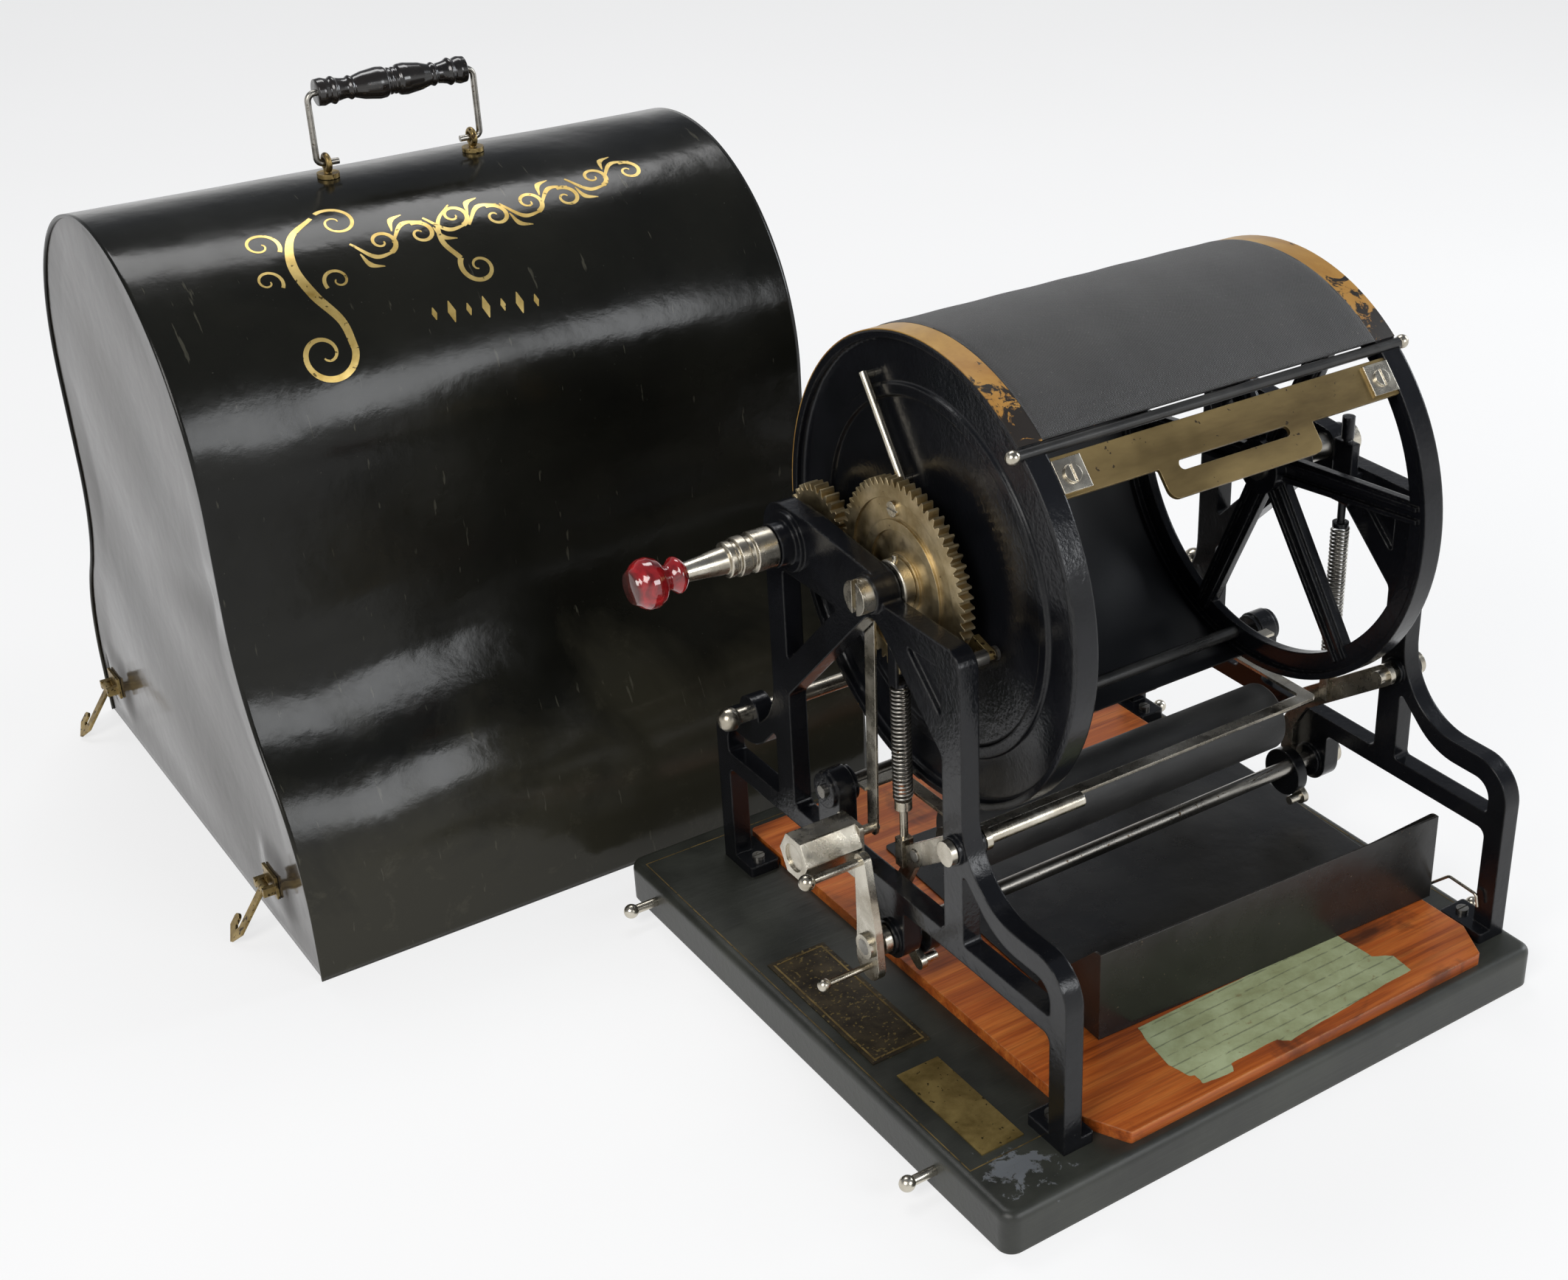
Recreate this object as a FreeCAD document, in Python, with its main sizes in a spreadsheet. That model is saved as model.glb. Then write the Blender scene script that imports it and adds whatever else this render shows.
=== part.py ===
"""Rotary stencil duplicator on a board, with its lift-off hood standing beside it."""

import FreeCAD
import Part
import math
import os

from FreeCAD import Placement, Rotation, Vector

# Driving dimensions in millimetres, degrees and counts.
# X runs along the drum, +Y to the back of the machine, +Z up, and the origin is
# the centre of the board's underside.
SIZES = {
    # base board and the stained board on it
    "board_width": 406,
    "board_depth": 420,
    "board_thick": 27,
    "board_corner": 9,
    "board_edge": 5,
    "mat_width": 300,
    "mat_depth": 384,
    "mat_thick": 8,
    "mat_front": 8,
    "mat_corner": 26,
    # side frames
    "frame_centre": 24,
    "frame_gap": 322,
    "frame_thick": 12,
    "axis_back": 198,
    "axis_height": 299,
    "post_front": 115,
    "post_back": 310,
    "post_width": 18,
    "foot_front": 22,
    "foot_back": 386,
    "leg_width": 14,
    "leg_top": 148,
    "leg_sweep": 48,
    "leg_bend": 26,
    "rail_low": 101,
    "rail_height": 12,
    "arm_top": 296,
    "arm_height": 15,
    "strut_width": 16,
    "strut_front": 239,
    "strut_back": 203,
    "boss_radius": 20,
    "hub_boss": 11.5,
    "frame_recess": 3.5,
    "foot_length": 34,
    "foot_width": 21,
    "foot_thick": 7,
    "foot_screw": 4,
    "feed_lug": 12,
    # drum
    "drum_centre": 17,
    "drum_length": 262,
    "drum_radius": 137,
    "rim_depth": 8,
    "rim_width": 14,
    "spoke_count": 6,
    "rim_web": 16,
    "spoke_width": 17,
    "hub_radius": 17,
    "hub_length": 30,
    "shaft_radius": 8,
    "screen_thick": 1,
    "cloth_thick": 0.8,
    "cloth_margin": 15,
    "sheet_start": 51,
    "sheet_end": 266,
    "stay_radius": 4,
    # clamp at the drum's open front
    "bar_low": 37.5,
    "bar_high": 47,
    "bar_thick": 2.5,
    "tab_low": 30,
    "tab_length": 107,
    "tab_slot": 6,
    "clamp_rod": 3,
    "clamp_ball": 4,
    # gears
    "tooth_module": 1.8,
    "drum_teeth": 64,
    "crank_teeth": 30,
    "gear_thick": 7,
    "gear_backlash": 0.25,
    "gear_from_frame": 8,
    # crank
    "crank_shaft": 7,
    "sleeve_radius": 12,
    "sleeve_length": 30,
    "neck_length": 26.4,
    "knob_radius": 15,
    "knob_length": 32,
    "crank_boss": 11.5,
    # impression roller and its lifting carrier
    "roller_back": 186,
    "roller_height": 128,
    "roller_radius": 22,
    "roller_length": 240,
    "roller_core": 10,
    "roller_shaft": 4,
    "pivot_back": 121,
    "pivot_height": 174,
    "pivot_radius": 4.5,
    "pivot_reach": 78,
    "arm_wide": 14,
    "arm_thick": 4,
    # springs
    "spring_left": 200,
    "spring_left_low": 160,
    "spring_left_high": 234,
    "spring_right": 170,
    "spring_right_low": 164,
    "spring_right_high": 256,
    "spring_radius": 5.2,
    "spring_wire": 1.6,
    "spring_pitch": 2.6,
    "spring_rod": 2.5,
    "spring_rod_top": 330,
    # trip shaft
    "trip_back": 189,
    "trip_height": 77,
    "trip_radius": 5,
    "trip_arm": 55,
    "cam_radius": 16,
    "cam_throw": 9,
    "cam_start": 40,
    "cam_gap": 1,
    "cam_stud": 3,
    # counter
    "counter_back": 226,
    "counter_height": 128,
    "counter_across": 26,
    "counter_length": 38,
    "nut_radius": 10,
    "nut_thick": 8,
    "spoke_start": 24,
    # rear cross rod, feed shaft and guide
    "cross_back": 342,
    "cross_height": 156,
    "cross_radius": 5,
    "feed_back": 252,
    "feed_height": 146,
    "feed_shaft": 4,
    "feed_radius": 14,
    "feed_width": 12,
    "guide_height": 151.5,
    "guide_front": 152,
    "guide_rear": 230,
    "guide_bar": 8,
    # receiving tray
    "tray_width": 259,
    "tray_depth": 240,
    "tray_height": 60,
    "tray_sheet": 1.2,
    "tray_turn": -2.6,
    "tray_front": 81,
    "tray_left": 124.8,
    "tray_gusset": 62,
    "tray_clearance": 0.3,
    "hook_stand": 2.4,
    "hook_wire": 1,
    # hood
    "hood_shift": -201,
    "hood_back": 448,
    "hood_inset": 66,
    "hood_flare_low": 40,
    "hood_flare_high": 227,
    "hood_shoulder": 290,
    "hood_sheet": 1.2,
    "handle_span": 98,
    "handle_grip": 10,
    "handle_rise": 50,
    "handle_bow": 6,
    "handle_wire": 2,
    "hook_height": 37,
    "hook_length": 42,
    "hook_out": 35,
    # catches
    "catch_front": 68,
    "catch_rear": 384,
    "catch_height": 13,
    "catch_pin": 3,
    "catch_reach": 18,
    # running clearances
    "running_fit": 0.06,
    "side_gap": 0.5,
}

X_AXIS = Vector(1, 0, 0)
Y_AXIS = Vector(0, 1, 0)
Z_AXIS = Vector(0, 0, 1)

document = FreeCAD.newDocument("Duplicator")
sheet = document.addObject("Spreadsheet::Sheet", "sizes")
for row, (alias, number) in enumerate(SIZES.items(), start=1):
    sheet.set(f"A{row}", alias)
    sheet.set(f"B{row}", str(number))
    sheet.setAlias(f"B{row}", alias)
document.recompute()


class Values:
    """The sheet's cells, read by their aliases."""

    def __getattr__(self, alias):
        return float(sheet.get(alias))


v = Values()
PARTS = []


def back(distance):
    """Y of a place given as its distance from the board's front edge."""
    return distance - v.board_depth / 2


# Places that several pieces share
BOARD_TOP = v.board_thick
MAT_TOP = BOARD_TOP + v.mat_thick
AXIS_Y = back(v.axis_back)
AXIS_Z = v.axis_height
LEFT_IN = v.frame_centre - v.frame_gap / 2
LEFT_OUT = LEFT_IN - v.frame_thick
RIGHT_IN = v.frame_centre + v.frame_gap / 2
RIGHT_OUT = RIGHT_IN + v.frame_thick
DRUM_LEFT = v.drum_centre - v.drum_length / 2
DRUM_RIGHT = v.drum_centre + v.drum_length / 2
RIM_RADIUS = v.drum_radius - v.screen_thick
WEB_X = DRUM_LEFT + v.rim_width / 2
GEAR_X = LEFT_IN + v.gear_from_frame
GEAR_REACH = v.tooth_module * (v.drum_teeth + v.crank_teeth) / 2
CRANK_DROP = 2
CRANK_ANGLE = -math.degrees(math.asin(CRANK_DROP / GEAR_REACH))
CRANK_Y = AXIS_Y + GEAR_REACH * math.cos(math.radians(CRANK_ANGLE))
CRANK_Z = AXIS_Z - CRANK_DROP
BOSS_PROUD = 3
RAIL_TOP = v.rail_low + v.rail_height
ARM_LEFT_X = LEFT_IN + 4.6
ARM_RIGHT_X = RIGHT_IN - 6 - v.arm_thick
ROLLER_Y = back(v.roller_back)
PIVOT_Y = back(v.pivot_back)
TRIP_Y = back(v.trip_back)
CAM_WIDTH = 9
LEVER_THICK = 5
PAWL_BACK = 120
PAWL_HEIGHT = 288
HOOD_Y = back(v.hood_back) + v.board_depth / 2
EYE_Z = v.hood_shoulder + v.board_depth / 2 - v.hood_inset + 9
HOOK_AXIS_OUT = 6.5
ROD_LEAD = 1.5
DISC_HUB = 12
HUB_INSIDE = 0.35


def new_body(label):
    body = document.addObject("PartDesign::Body", label)
    body.Label = label
    return body


def keep(piece, label=None):
    """Mark an object as one of the finished sub-parts."""
    if label:
        piece.Label = label
    PARTS.append(piece)
    return piece


def origin_feature(body, role):
    return next(f for f in body.Origin.OriginFeatures if f.Role == role)


def sketch_on(body, role, loops, offset=0.0):
    """A sketch on one of the body's origin planes, moved along its normal."""
    sketch = body.newObject("Sketcher::SketchObject", "Sketch")
    sketch.AttachmentSupport = [(origin_feature(body, role), "")]
    sketch.MapMode = "FlatFace"
    sketch.AttachmentOffset = Placement(Vector(0, 0, offset), Rotation())
    for loop in loops:
        for curve in loop:
            sketch.addGeometry(curve, False)
    return sketch


def bind(feature, prop, value):
    """Set a size: a formula on the sheet as text, or a worked-out number."""
    if isinstance(value, str):
        feature.setExpression(prop, value)
    else:
        setattr(feature, prop, value)


def pad(body, role, loops, length, offset=0.0):
    feature = body.newObject("PartDesign::Pad", "Pad")
    feature.Profile = sketch_on(body, role, loops, offset)
    bind(feature, "Length", length)
    return feature


def pocket(body, role, loops, length, offset=0.0, forward=True):
    """A cut that runs along the plane's normal, or against it."""
    feature = body.newObject("PartDesign::Pocket", "Pocket")
    feature.Profile = sketch_on(body, role, loops, offset)
    bind(feature, "Length", length)
    feature.Reversed = forward
    return feature


def turned(label, corners, x=0.0, y=0.0, z=0.0):
    """A piece turned about an axis along X: corners are (x, radius[, fillet])."""
    body = new_body(label)
    feature = body.newObject("PartDesign::Revolution", "Revolution")
    feature.Profile = sketch_on(body, "XY_Plane", [outline(corners)])
    feature.ReferenceAxis = (origin_feature(body, "X_Axis"), [""])
    feature.Angle = 360
    body.Placement = Placement(Vector(x, y, z), Rotation())
    return body


def circle(a, b, radius):
    return [Part.Circle(Vector(a, b, 0), Z_AXIS, radius)]


def outline(corners):
    """A closed loop through corners (a, b[, fillet radius]) in the sketch plane."""
    points = [Vector(c[0], c[1], 0) for c in corners]
    entries = []
    exits = []
    curves = []
    for i, corner in enumerate(corners):
        here = points[i]
        radius = corner[2] if len(corner) > 2 else 0
        if not radius:
            entries.append(here)
            exits.append(here)
            continue
        to_last = (points[i - 1] - here).normalize()
        to_next = (points[(i + 1) % len(points)] - here).normalize()
        half = to_last.getAngle(to_next) / 2
        reach = radius / math.tan(half)
        middle = (to_last + to_next).normalize() * (radius / math.sin(half) - radius)
        entries.append(here + to_last * reach)
        exits.append(here + to_next * reach)
        curves.append(Part.Arc(entries[i], here + middle, exits[i]))
    for i, leave in enumerate(exits):
        arrive = entries[(i + 1) % len(entries)]
        if (arrive - leave).Length > 1e-6:
            curves.append(Part.LineSegment(leave, arrive))
    return curves


def strip(points, width):
    """A flat lever's loop: an even width along a bent line, with round ends."""
    half = width / 2
    line = [Vector(a, b, 0) for a, b in points]
    left = []
    right = []
    for i, here in enumerate(line):
        first = (line[i] - line[i - 1]).normalize() if i else None
        last = (line[i + 1] - line[i]).normalize() if i + 1 < len(line) else None
        if first is None or last is None:
            along = last or first
            ahead = along * (half if first else -half)
            side = Vector(-along.y, along.x, 0) * half
        else:
            bisector = (first + last).normalize()
            ahead = Vector()
            stretch = bisector.dot(first)
            side = Vector(-bisector.y, bisector.x, 0) * (half / stretch)
        fillet = half * 0.98 if first is None or last is None else 0
        left.append((*(here + ahead + side)[:2], fillet))
        right.append((*(here + ahead - side)[:2], fillet))
    return outline(left + right[::-1])


def rod(radius, length, start, axis=X_AXIS):
    """A round bar from its start point along an axis."""
    piece = document.addObject("Part::Cylinder", "Rod")
    bind(piece, "Radius", radius)
    bind(piece, "Height", length)
    piece.Placement = Placement(start, Rotation(Z_AXIS, axis))
    return piece


def ball(radius, centre, turn=0):
    """A sphere; it is turned about Z so that its seam keeps clear of its rod."""
    piece = document.addObject("Part::Sphere", "Ball")
    bind(piece, "Radius", radius)
    piece.Placement = Placement(centre, Rotation(Z_AXIS, turn))
    return piece


def box(sizes, corner, rotation=None):
    piece = document.addObject("Part::Box", "Box")
    for prop, value in zip(("Length", "Width", "Height"), sizes):
        bind(piece, prop, value)
    piece.Placement = Placement(corner, rotation or Rotation())
    return piece


def fused(label, pieces):
    whole = document.addObject("Part::MultiFuse", label)
    whole.Shapes = pieces
    whole.Label = label
    return whole


def without(label, whole, tool):
    rest = document.addObject("Part::Cut", label)
    rest.Base = whole
    rest.Tool = tool
    rest.Label = label
    return rest


def grouped(label, pieces):
    """Identical pieces as separate solids in one node."""
    group = document.addObject("Part::Compound", label)
    group.Links = pieces
    group.Label = label
    return group


def bent_wire(points, bends, radius):
    """A wire's shape: straight runs joined by tangent arcs, swept with a circle."""
    edges = []
    leave = points[0]
    for i in range(1, len(points) - 1):
        here = points[i]
        to_last = (points[i - 1] - here).normalize()
        to_next = (points[i + 1] - here).normalize()
        half = to_last.getAngle(to_next) / 2
        reach = bends[i - 1] / math.tan(half)
        inward = (to_last + to_next).normalize()
        middle = here + inward * (bends[i - 1] / math.sin(half) - bends[i - 1])
        edges.append(Part.LineSegment(leave, here + to_last * reach).toShape())
        leave = here + to_next * reach
        edges.append(Part.Arc(here + to_last * reach, middle, leave).toShape())
    edges.append(Part.LineSegment(leave, points[-1]).toShape())
    spine = Part.Wire(edges)
    section = Part.Wire(Part.Circle(points[0], points[1] - points[0], radius).toShape())
    return spine.makePipeShell([section], True, False)


def shaped(label, shape):
    piece = document.addObject("Part::Feature", label)
    piece.Shape = shape
    piece.Label = label
    return piece


# Board

def base_board():
    body = new_body("base_board")
    half_width = v.board_width / 2
    half_depth = v.board_depth / 2
    radius = v.board_corner
    corners = [(-half_width, -half_depth, radius), (half_width, -half_depth, radius),
               (half_width, half_depth, radius), (-half_width, half_depth, radius)]
    solid = pad(body, "XY_Plane", [outline(corners)], "sizes.board_thick")
    document.recompute()
    top = max(range(len(solid.Shape.Faces)), key=lambda i: solid.Shape.Faces[i].CenterOfMass.z)
    edge = body.newObject("PartDesign::Fillet", "MouldedEdge")
    edge.Base = (solid, [f"Face{top + 1}"])
    bind(edge, "Radius", "sizes.board_edge")
    keep(body)


def mat_board():
    """The stained board under the frames, with its front corners cut off."""
    body = new_body("mat_board")
    left = v.frame_centre - v.mat_width / 2
    right = left + v.mat_width
    front = back(v.mat_front)
    rear = front + v.mat_depth
    cut = v.mat_corner
    corners = [(left + cut / 2, front, 2), (right - cut / 2, front, 2), (right, front + cut, 2),
               (right, rear, 3), (left, rear, 3), (left, front + cut, 2)]
    pad(body, "XY_Plane", [outline(corners)], "sizes.mat_thick", BOARD_TOP)
    keep(body)


# Side frames

def leg_outline():
    """The frame's outer edge: two S-curved legs, posts and the arched arm."""
    foot_in = v.leg_width
    rail = v.rail_low
    lug = v.trip_radius + 9
    trip_low = v.trip_height - lug
    crank_top = CRANK_Z + v.boss_radius
    post_back = back(v.post_back)
    return outline([
        (back(v.foot_front), BOARD_TOP),
        (back(v.foot_front) + foot_in, BOARD_TOP),
        (back(v.foot_front) + foot_in, rail, 6),
        (TRIP_Y - lug, rail, 4),
        (TRIP_Y - lug, trip_low, lug * 0.98),
        (TRIP_Y + lug, trip_low, lug * 0.98),
        (TRIP_Y + lug, rail, 4),
        (back(v.foot_back) - foot_in, rail, 6),
        (back(v.foot_back) - foot_in, BOARD_TOP),
        (back(v.foot_back), BOARD_TOP),
        (back(v.foot_back), v.leg_top, v.leg_bend),
        (post_back, v.leg_top, v.leg_sweep * 0.9),
        (post_back, crank_top, v.boss_radius),
        (CRANK_Y - v.boss_radius, crank_top, 12),
        (AXIS_Y - v.hub_boss * 0.3, AXIS_Z + v.hub_boss, 9),
        (AXIS_Y - v.hub_boss * 1.05, v.arm_top, 3),
        (back(v.post_front), v.arm_top, 12),
        (back(v.post_front), v.leg_top, v.leg_sweep),
        (back(v.foot_front), v.leg_top, v.leg_bend),
    ])


def strut_line(foot_y, foot_z, side):
    """Height of a strut's edge at a given Y, on its upper (+1) or lower (-1) side."""
    slope = (AXIS_Z - foot_z) / (AXIS_Y - foot_y)
    rise = side * v.strut_width / 2 * math.hypot(1, slope)
    return slope, rise


def frame_holes():
    """The openings in the frame, each a loop."""
    front_post = back(v.post_front) + v.post_width
    back_post = back(v.post_back) - v.post_width
    arm_low = v.arm_top - v.arm_height
    bearing_low = CRANK_Z - v.boss_radius - 2
    front_slope, front_rise = strut_line(front_post, v.strut_front, 1)
    back_slope, back_rise = strut_line(back_post, v.strut_back, 1)
    front_meet = AXIS_Z + front_slope * (front_post - AXIS_Y)
    back_meet = AXIS_Z + back_slope * (back_post - AXIS_Y)
    front_tip = AXIS_Y + (arm_low - AXIS_Z - front_rise) / front_slope
    back_tip = AXIS_Y + (bearing_low - AXIS_Z - back_rise) / back_slope
    apex = AXIS_Z - (front_rise + back_rise) / 2
    feed_y = back(v.feed_back)
    feed_half = v.feed_lug
    feed_top = v.feed_height + v.feed_lug
    leg_low = v.leg_top - v.leg_width
    front_leg = back(v.foot_front) + v.leg_width
    back_leg = back(v.foot_back) - v.leg_width
    return [
        outline([(front_post, arm_low, 4), (front_tip, arm_low, 2),
                 (front_post, front_meet + front_rise, 2)]),
        outline([(back_post, bearing_low, 4), (back_tip, bearing_low, 2),
                 (back_post, back_meet + back_rise, 2)]),
        outline([(front_post, RAIL_TOP, 5), (front_post, front_meet - front_rise, 6),
                 (AXIS_Y, apex, 12), (back_post, back_meet - back_rise, 6),
                 (back_post, RAIL_TOP, 5), (feed_y + feed_half, RAIL_TOP, 4),
                 (feed_y + feed_half, feed_top, feed_half * 0.98),
                 (feed_y - feed_half, feed_top, feed_half * 0.98),
                 (feed_y - feed_half, RAIL_TOP, 4)]),
        outline([(front_leg, RAIL_TOP, 3), (front_leg, leg_low, 12),
                 (back(v.post_front) - v.leg_sweep * 0.65, leg_low, v.leg_sweep),
                 (back(v.post_front), leg_low + v.leg_sweep * 0.58, 2),
                 (back(v.post_front), RAIL_TOP, 3)]),
        outline([(back_leg, RAIL_TOP, 3), (back_leg, leg_low, 12),
                 (back(v.post_back) + v.leg_sweep * 0.5, leg_low, v.leg_sweep * 0.7),
                 (back(v.post_back), leg_low + v.leg_sweep * 0.5, 2),
                 (back(v.post_back), RAIL_TOP, 3)]),
    ]


def bearing_holes():
    """Every shaft that runs in the frame: place, radius and boss radius."""
    fit = v.running_fit
    return {
        "drum": (AXIS_Y, AXIS_Z, v.shaft_radius + fit, v.hub_boss),
        "crank": (CRANK_Y, CRANK_Z, v.crank_shaft + fit, v.boss_radius - 2),
        "pivot": (PIVOT_Y, v.pivot_height, v.pivot_radius + fit, v.pivot_radius + 4),
        "trip": (TRIP_Y, v.trip_height, v.trip_radius + fit, v.trip_radius + 6),
        "feed": (back(v.feed_back), v.feed_height, v.feed_shaft + fit, v.feed_lug - 1),
    }


def side_frame(label, outer_x, foot_x):
    """One cast side: the open web, its bearing bosses and two foot flanges."""
    body = new_body(label)
    holes = bearing_holes()
    rounds = [circle(y, z, radius) for y, z, radius, _ in holes.values()]
    recess, *openings = frame_holes()
    pad(body, "YZ_Plane", [leg_outline()] + openings + rounds, "sizes.frame_thick", outer_x)
    pocket(body, "YZ_Plane", [recess], "sizes.frame_recess", outer_x)
    pocket(body, "YZ_Plane", [recess], "sizes.frame_recess", outer_x + v.frame_thick, False)
    cross = (back(v.cross_back), v.cross_height)
    bosses = {**holes, "cross": (*cross, v.cross_radius, v.cross_radius + 6)}
    for name, (y, z, bore, boss) in bosses.items():
        left = 0 if name == "cross" else BOSS_PROUD
        right = left
        if name == "drum":  # flush on the inner side, where the drum's collar runs
            left, right = (BOSS_PROUD, 0) if outer_x < 0 else (0, BOSS_PROUD)
        loops = [circle(y, z, boss), circle(y, z, bore)]
        pad(body, "YZ_Plane", loops, v.frame_thick + left + right, outer_x - left)
    if outer_x < 0:
        place = (CRANK_Y, CRANK_Z)
        loops = [circle(*place, v.sleeve_radius + 1), circle(*place, v.crank_shaft + v.running_fit)]
        pad(body, "YZ_Plane", loops, "sizes.crank_boss", outer_x - v.crank_boss)
    for start in (back(v.foot_front), back(v.foot_back) - v.foot_length):
        flange = outline([(foot_x, start, 2), (foot_x + v.foot_width, start, 2),
                          (foot_x + v.foot_width, start + v.foot_length, 2),
                          (foot_x, start + v.foot_length, 2)])
        pad(body, "XY_Plane", [flange], "sizes.foot_thick", BOARD_TOP)
    return body


def frames():
    left = side_frame("side_frame_left", LEFT_OUT, LEFT_OUT)
    right = side_frame("side_frame_right", RIGHT_IN, RIGHT_OUT - v.foot_width)
    keep(left)
    keep(right)


def frame_screws():
    """Slotted screws that hold the feet down, one behind each leg."""
    pieces = []
    head_z = BOARD_TOP + v.foot_thick
    for x in (LEFT_OUT + v.foot_width / 2, RIGHT_OUT - v.foot_width / 2):
        for y in (back(v.foot_front) + v.foot_length - 9, back(v.foot_back) - v.foot_length + 9):
            head = rod("sizes.foot_screw", 2.4, Vector(x, y, head_z), Z_AXIS)
            slot = box((9, 1, 1.2), Vector(x - 4.5, y - 0.5, head_z + 1.3))
            pieces.append(without("Screw", head, slot))
    keep(grouped("frame_screws", pieces))


def catch_pins():
    """Ball-headed pins in the board's ends, which the hood's hooks catch."""
    pieces = []
    for side in (-1, 1):
        for place in (v.catch_front, v.catch_rear):
            start = Vector(side * v.board_width / 2, back(place), v.catch_height)
            shank = rod("sizes.catch_pin", "sizes.catch_reach", start, X_AXIS * side)
            turn = 90 - 90 * side
            end = ball(v.catch_pin * 1.6, start + X_AXIS * side * v.catch_reach, turn)
            pieces.append(fused("Pin", [shank, end]))
    keep(grouped("catch_pins", pieces))


def cross_rod():
    """Rear cross rod through both back legs, with a ball on each end."""
    start = LEFT_OUT - 14
    length = RIGHT_OUT + 14 - start
    y = back(v.cross_back)
    bar = rod(v.cross_radius - v.running_fit, length, Vector(start, y, v.cross_height))
    ends = [ball(v.cross_radius * 1.5, Vector(x, y, v.cross_height), turn)
            for x, turn in ((start, 180), (start + length, 0))]
    keep(fused("cross_rod", [bar] + ends))


def hub_nuts():
    """Slotted ring nuts that close the drum shaft's bearings."""
    pieces = []
    for x in (LEFT_OUT - BOSS_PROUD - v.nut_thick, RIGHT_OUT + BOSS_PROUD):
        nut = rod("sizes.nut_radius", "sizes.nut_thick", Vector(x, AXIS_Y, AXIS_Z))
        slot = box((v.nut_thick / 2, 4, 3 * v.nut_radius), Vector(
            x if x < 0 else x + v.nut_thick / 2, AXIS_Y - 2, AXIS_Z - 1.5 * v.nut_radius))
        pieces.append(without("Nut", nut, slot))
    keep(grouped("hub_nuts", pieces))


# Drum

def sector(inner, outer, start, end):
    """A ring sector's loop; angles run from the front over the top to the back."""
    def at(radius, angle):
        turn = math.radians(180 - angle)
        return Vector(radius * math.cos(turn), radius * math.sin(turn), 0)
    middle = (start + end) / 2
    return [Part.Arc(at(outer, start), at(outer, middle), at(outer, end)),
            Part.LineSegment(at(outer, end), at(inner, end)),
            Part.Arc(at(inner, end), at(inner, middle), at(inner, start)),
            Part.LineSegment(at(inner, start), at(outer, start))]


def on_axis(body, x=0.0):
    body.Placement = Placement(Vector(x, AXIS_Y, AXIS_Z), Rotation())
    return body


def rim_corners(x, inward):
    """A T-shaped rim's section, its web on the inner side."""
    width = v.rim_width
    rim = RIM_RADIUS
    flange = rim - v.rim_depth / 2
    deep = rim - v.rim_web
    web = width / 2 + inward * 1
    return [(x, flange), (x, rim), (x + width, rim), (x + width, flange),
            (x + web + 3, flange), (x + web + 3, deep), (x + web - 3, deep), (x + web - 3, flange)]


def rod_notch(turn=0.0):
    """The notch in a rim for the clamp rod; the rim itself may be turned."""
    angle = math.radians(180 - v.sheet_start + ROD_LEAD - turn)
    radius = v.drum_radius + v.cloth_thick - v.clamp_rod
    return circle(radius * math.cos(angle), radius * math.sin(angle), v.clamp_rod + 0.1)


def drum_disc():
    """The closed left end: rim, dished web with raised rings, and hub."""
    x = DRUM_LEFT
    rim = RIM_RADIUS
    flange = rim - v.rim_depth / 2
    ring = rim * 0.76
    hub_out = GEAR_X + v.gear_thick
    bore = v.shaft_radius
    face = WEB_X - 2
    inner = WEB_X + 2
    corners = [(hub_out, bore), (hub_out, v.hub_radius, 1), (face, v.hub_radius, 3),
               (face, ring - 4, 1), (face - 2, ring - 3), (face - 2, ring + 3), (face, ring + 4, 1),
               (face, flange, 2), (x, flange), (x, rim), (x + v.rim_width, rim),
               (x + v.rim_width, flange), (inner, flange, 2), (inner, v.hub_radius, 3),
               (inner + DISC_HUB, v.hub_radius, 1), (inner + DISC_HUB, bore)]
    body = turned("drum_disc", corners, 0, AXIS_Y, AXIS_Z)
    pocket(body, "YZ_Plane", [rod_notch()], v.rim_width + 2, x - 1)
    keep(body)


def drum_wheel():
    """The open right end: T-rim, ribbed spokes and hub."""
    start = DRUM_RIGHT - v.rim_width
    corners = rim_corners(0, 0)
    body = turned("drum_wheel", corners, start, AXIS_Y, AXIS_Z)
    middle = v.rim_width / 2
    hub = [circle(0, 0, v.hub_radius), circle(0, 0, v.shaft_radius)]
    pad(body, "YZ_Plane", hub, "sizes.hub_length", middle - v.hub_length * HUB_INSIDE)
    reach = RIM_RADIUS - v.rim_depth - 1
    half = v.spoke_width / 2
    root = v.hub_radius - 3
    blade = outline([(-half, -root), (-half * 0.8, -reach), (half * 0.8, -reach), (half, -root)])
    spoke = pad(body, "YZ_Plane", [blade], 5.0, middle - 2.5)
    ribs = [outline([(s * half * 0.55 - 1.3, -root), (s * half * 0.45 - 1.3, -reach),
                     (s * half * 0.45 + 1.3, -reach), (s * half * 0.55 + 1.3, -root)])
            for s in (-1, 1)]
    rib = pad(body, "YZ_Plane", ribs, 11.0, middle - 5.5)
    pattern = body.newObject("PartDesign::PolarPattern", "Spokes")
    pattern.Originals = [spoke, rib]
    pattern.Axis = (origin_feature(body, "X_Axis"), [""])
    pattern.Angle = 360
    bind(pattern, "Occurrences", "sizes.spoke_count")
    body.Tip = pattern
    notch = pocket(body, "YZ_Plane", [rod_notch(v.spoke_start)], v.rim_width + 2, -1)
    body.Tip = notch
    turn = Rotation(X_AXIS, v.spoke_start)
    body.Placement = Placement(Vector(start, AXIS_Y, AXIS_Z), turn)
    keep(body)


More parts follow.
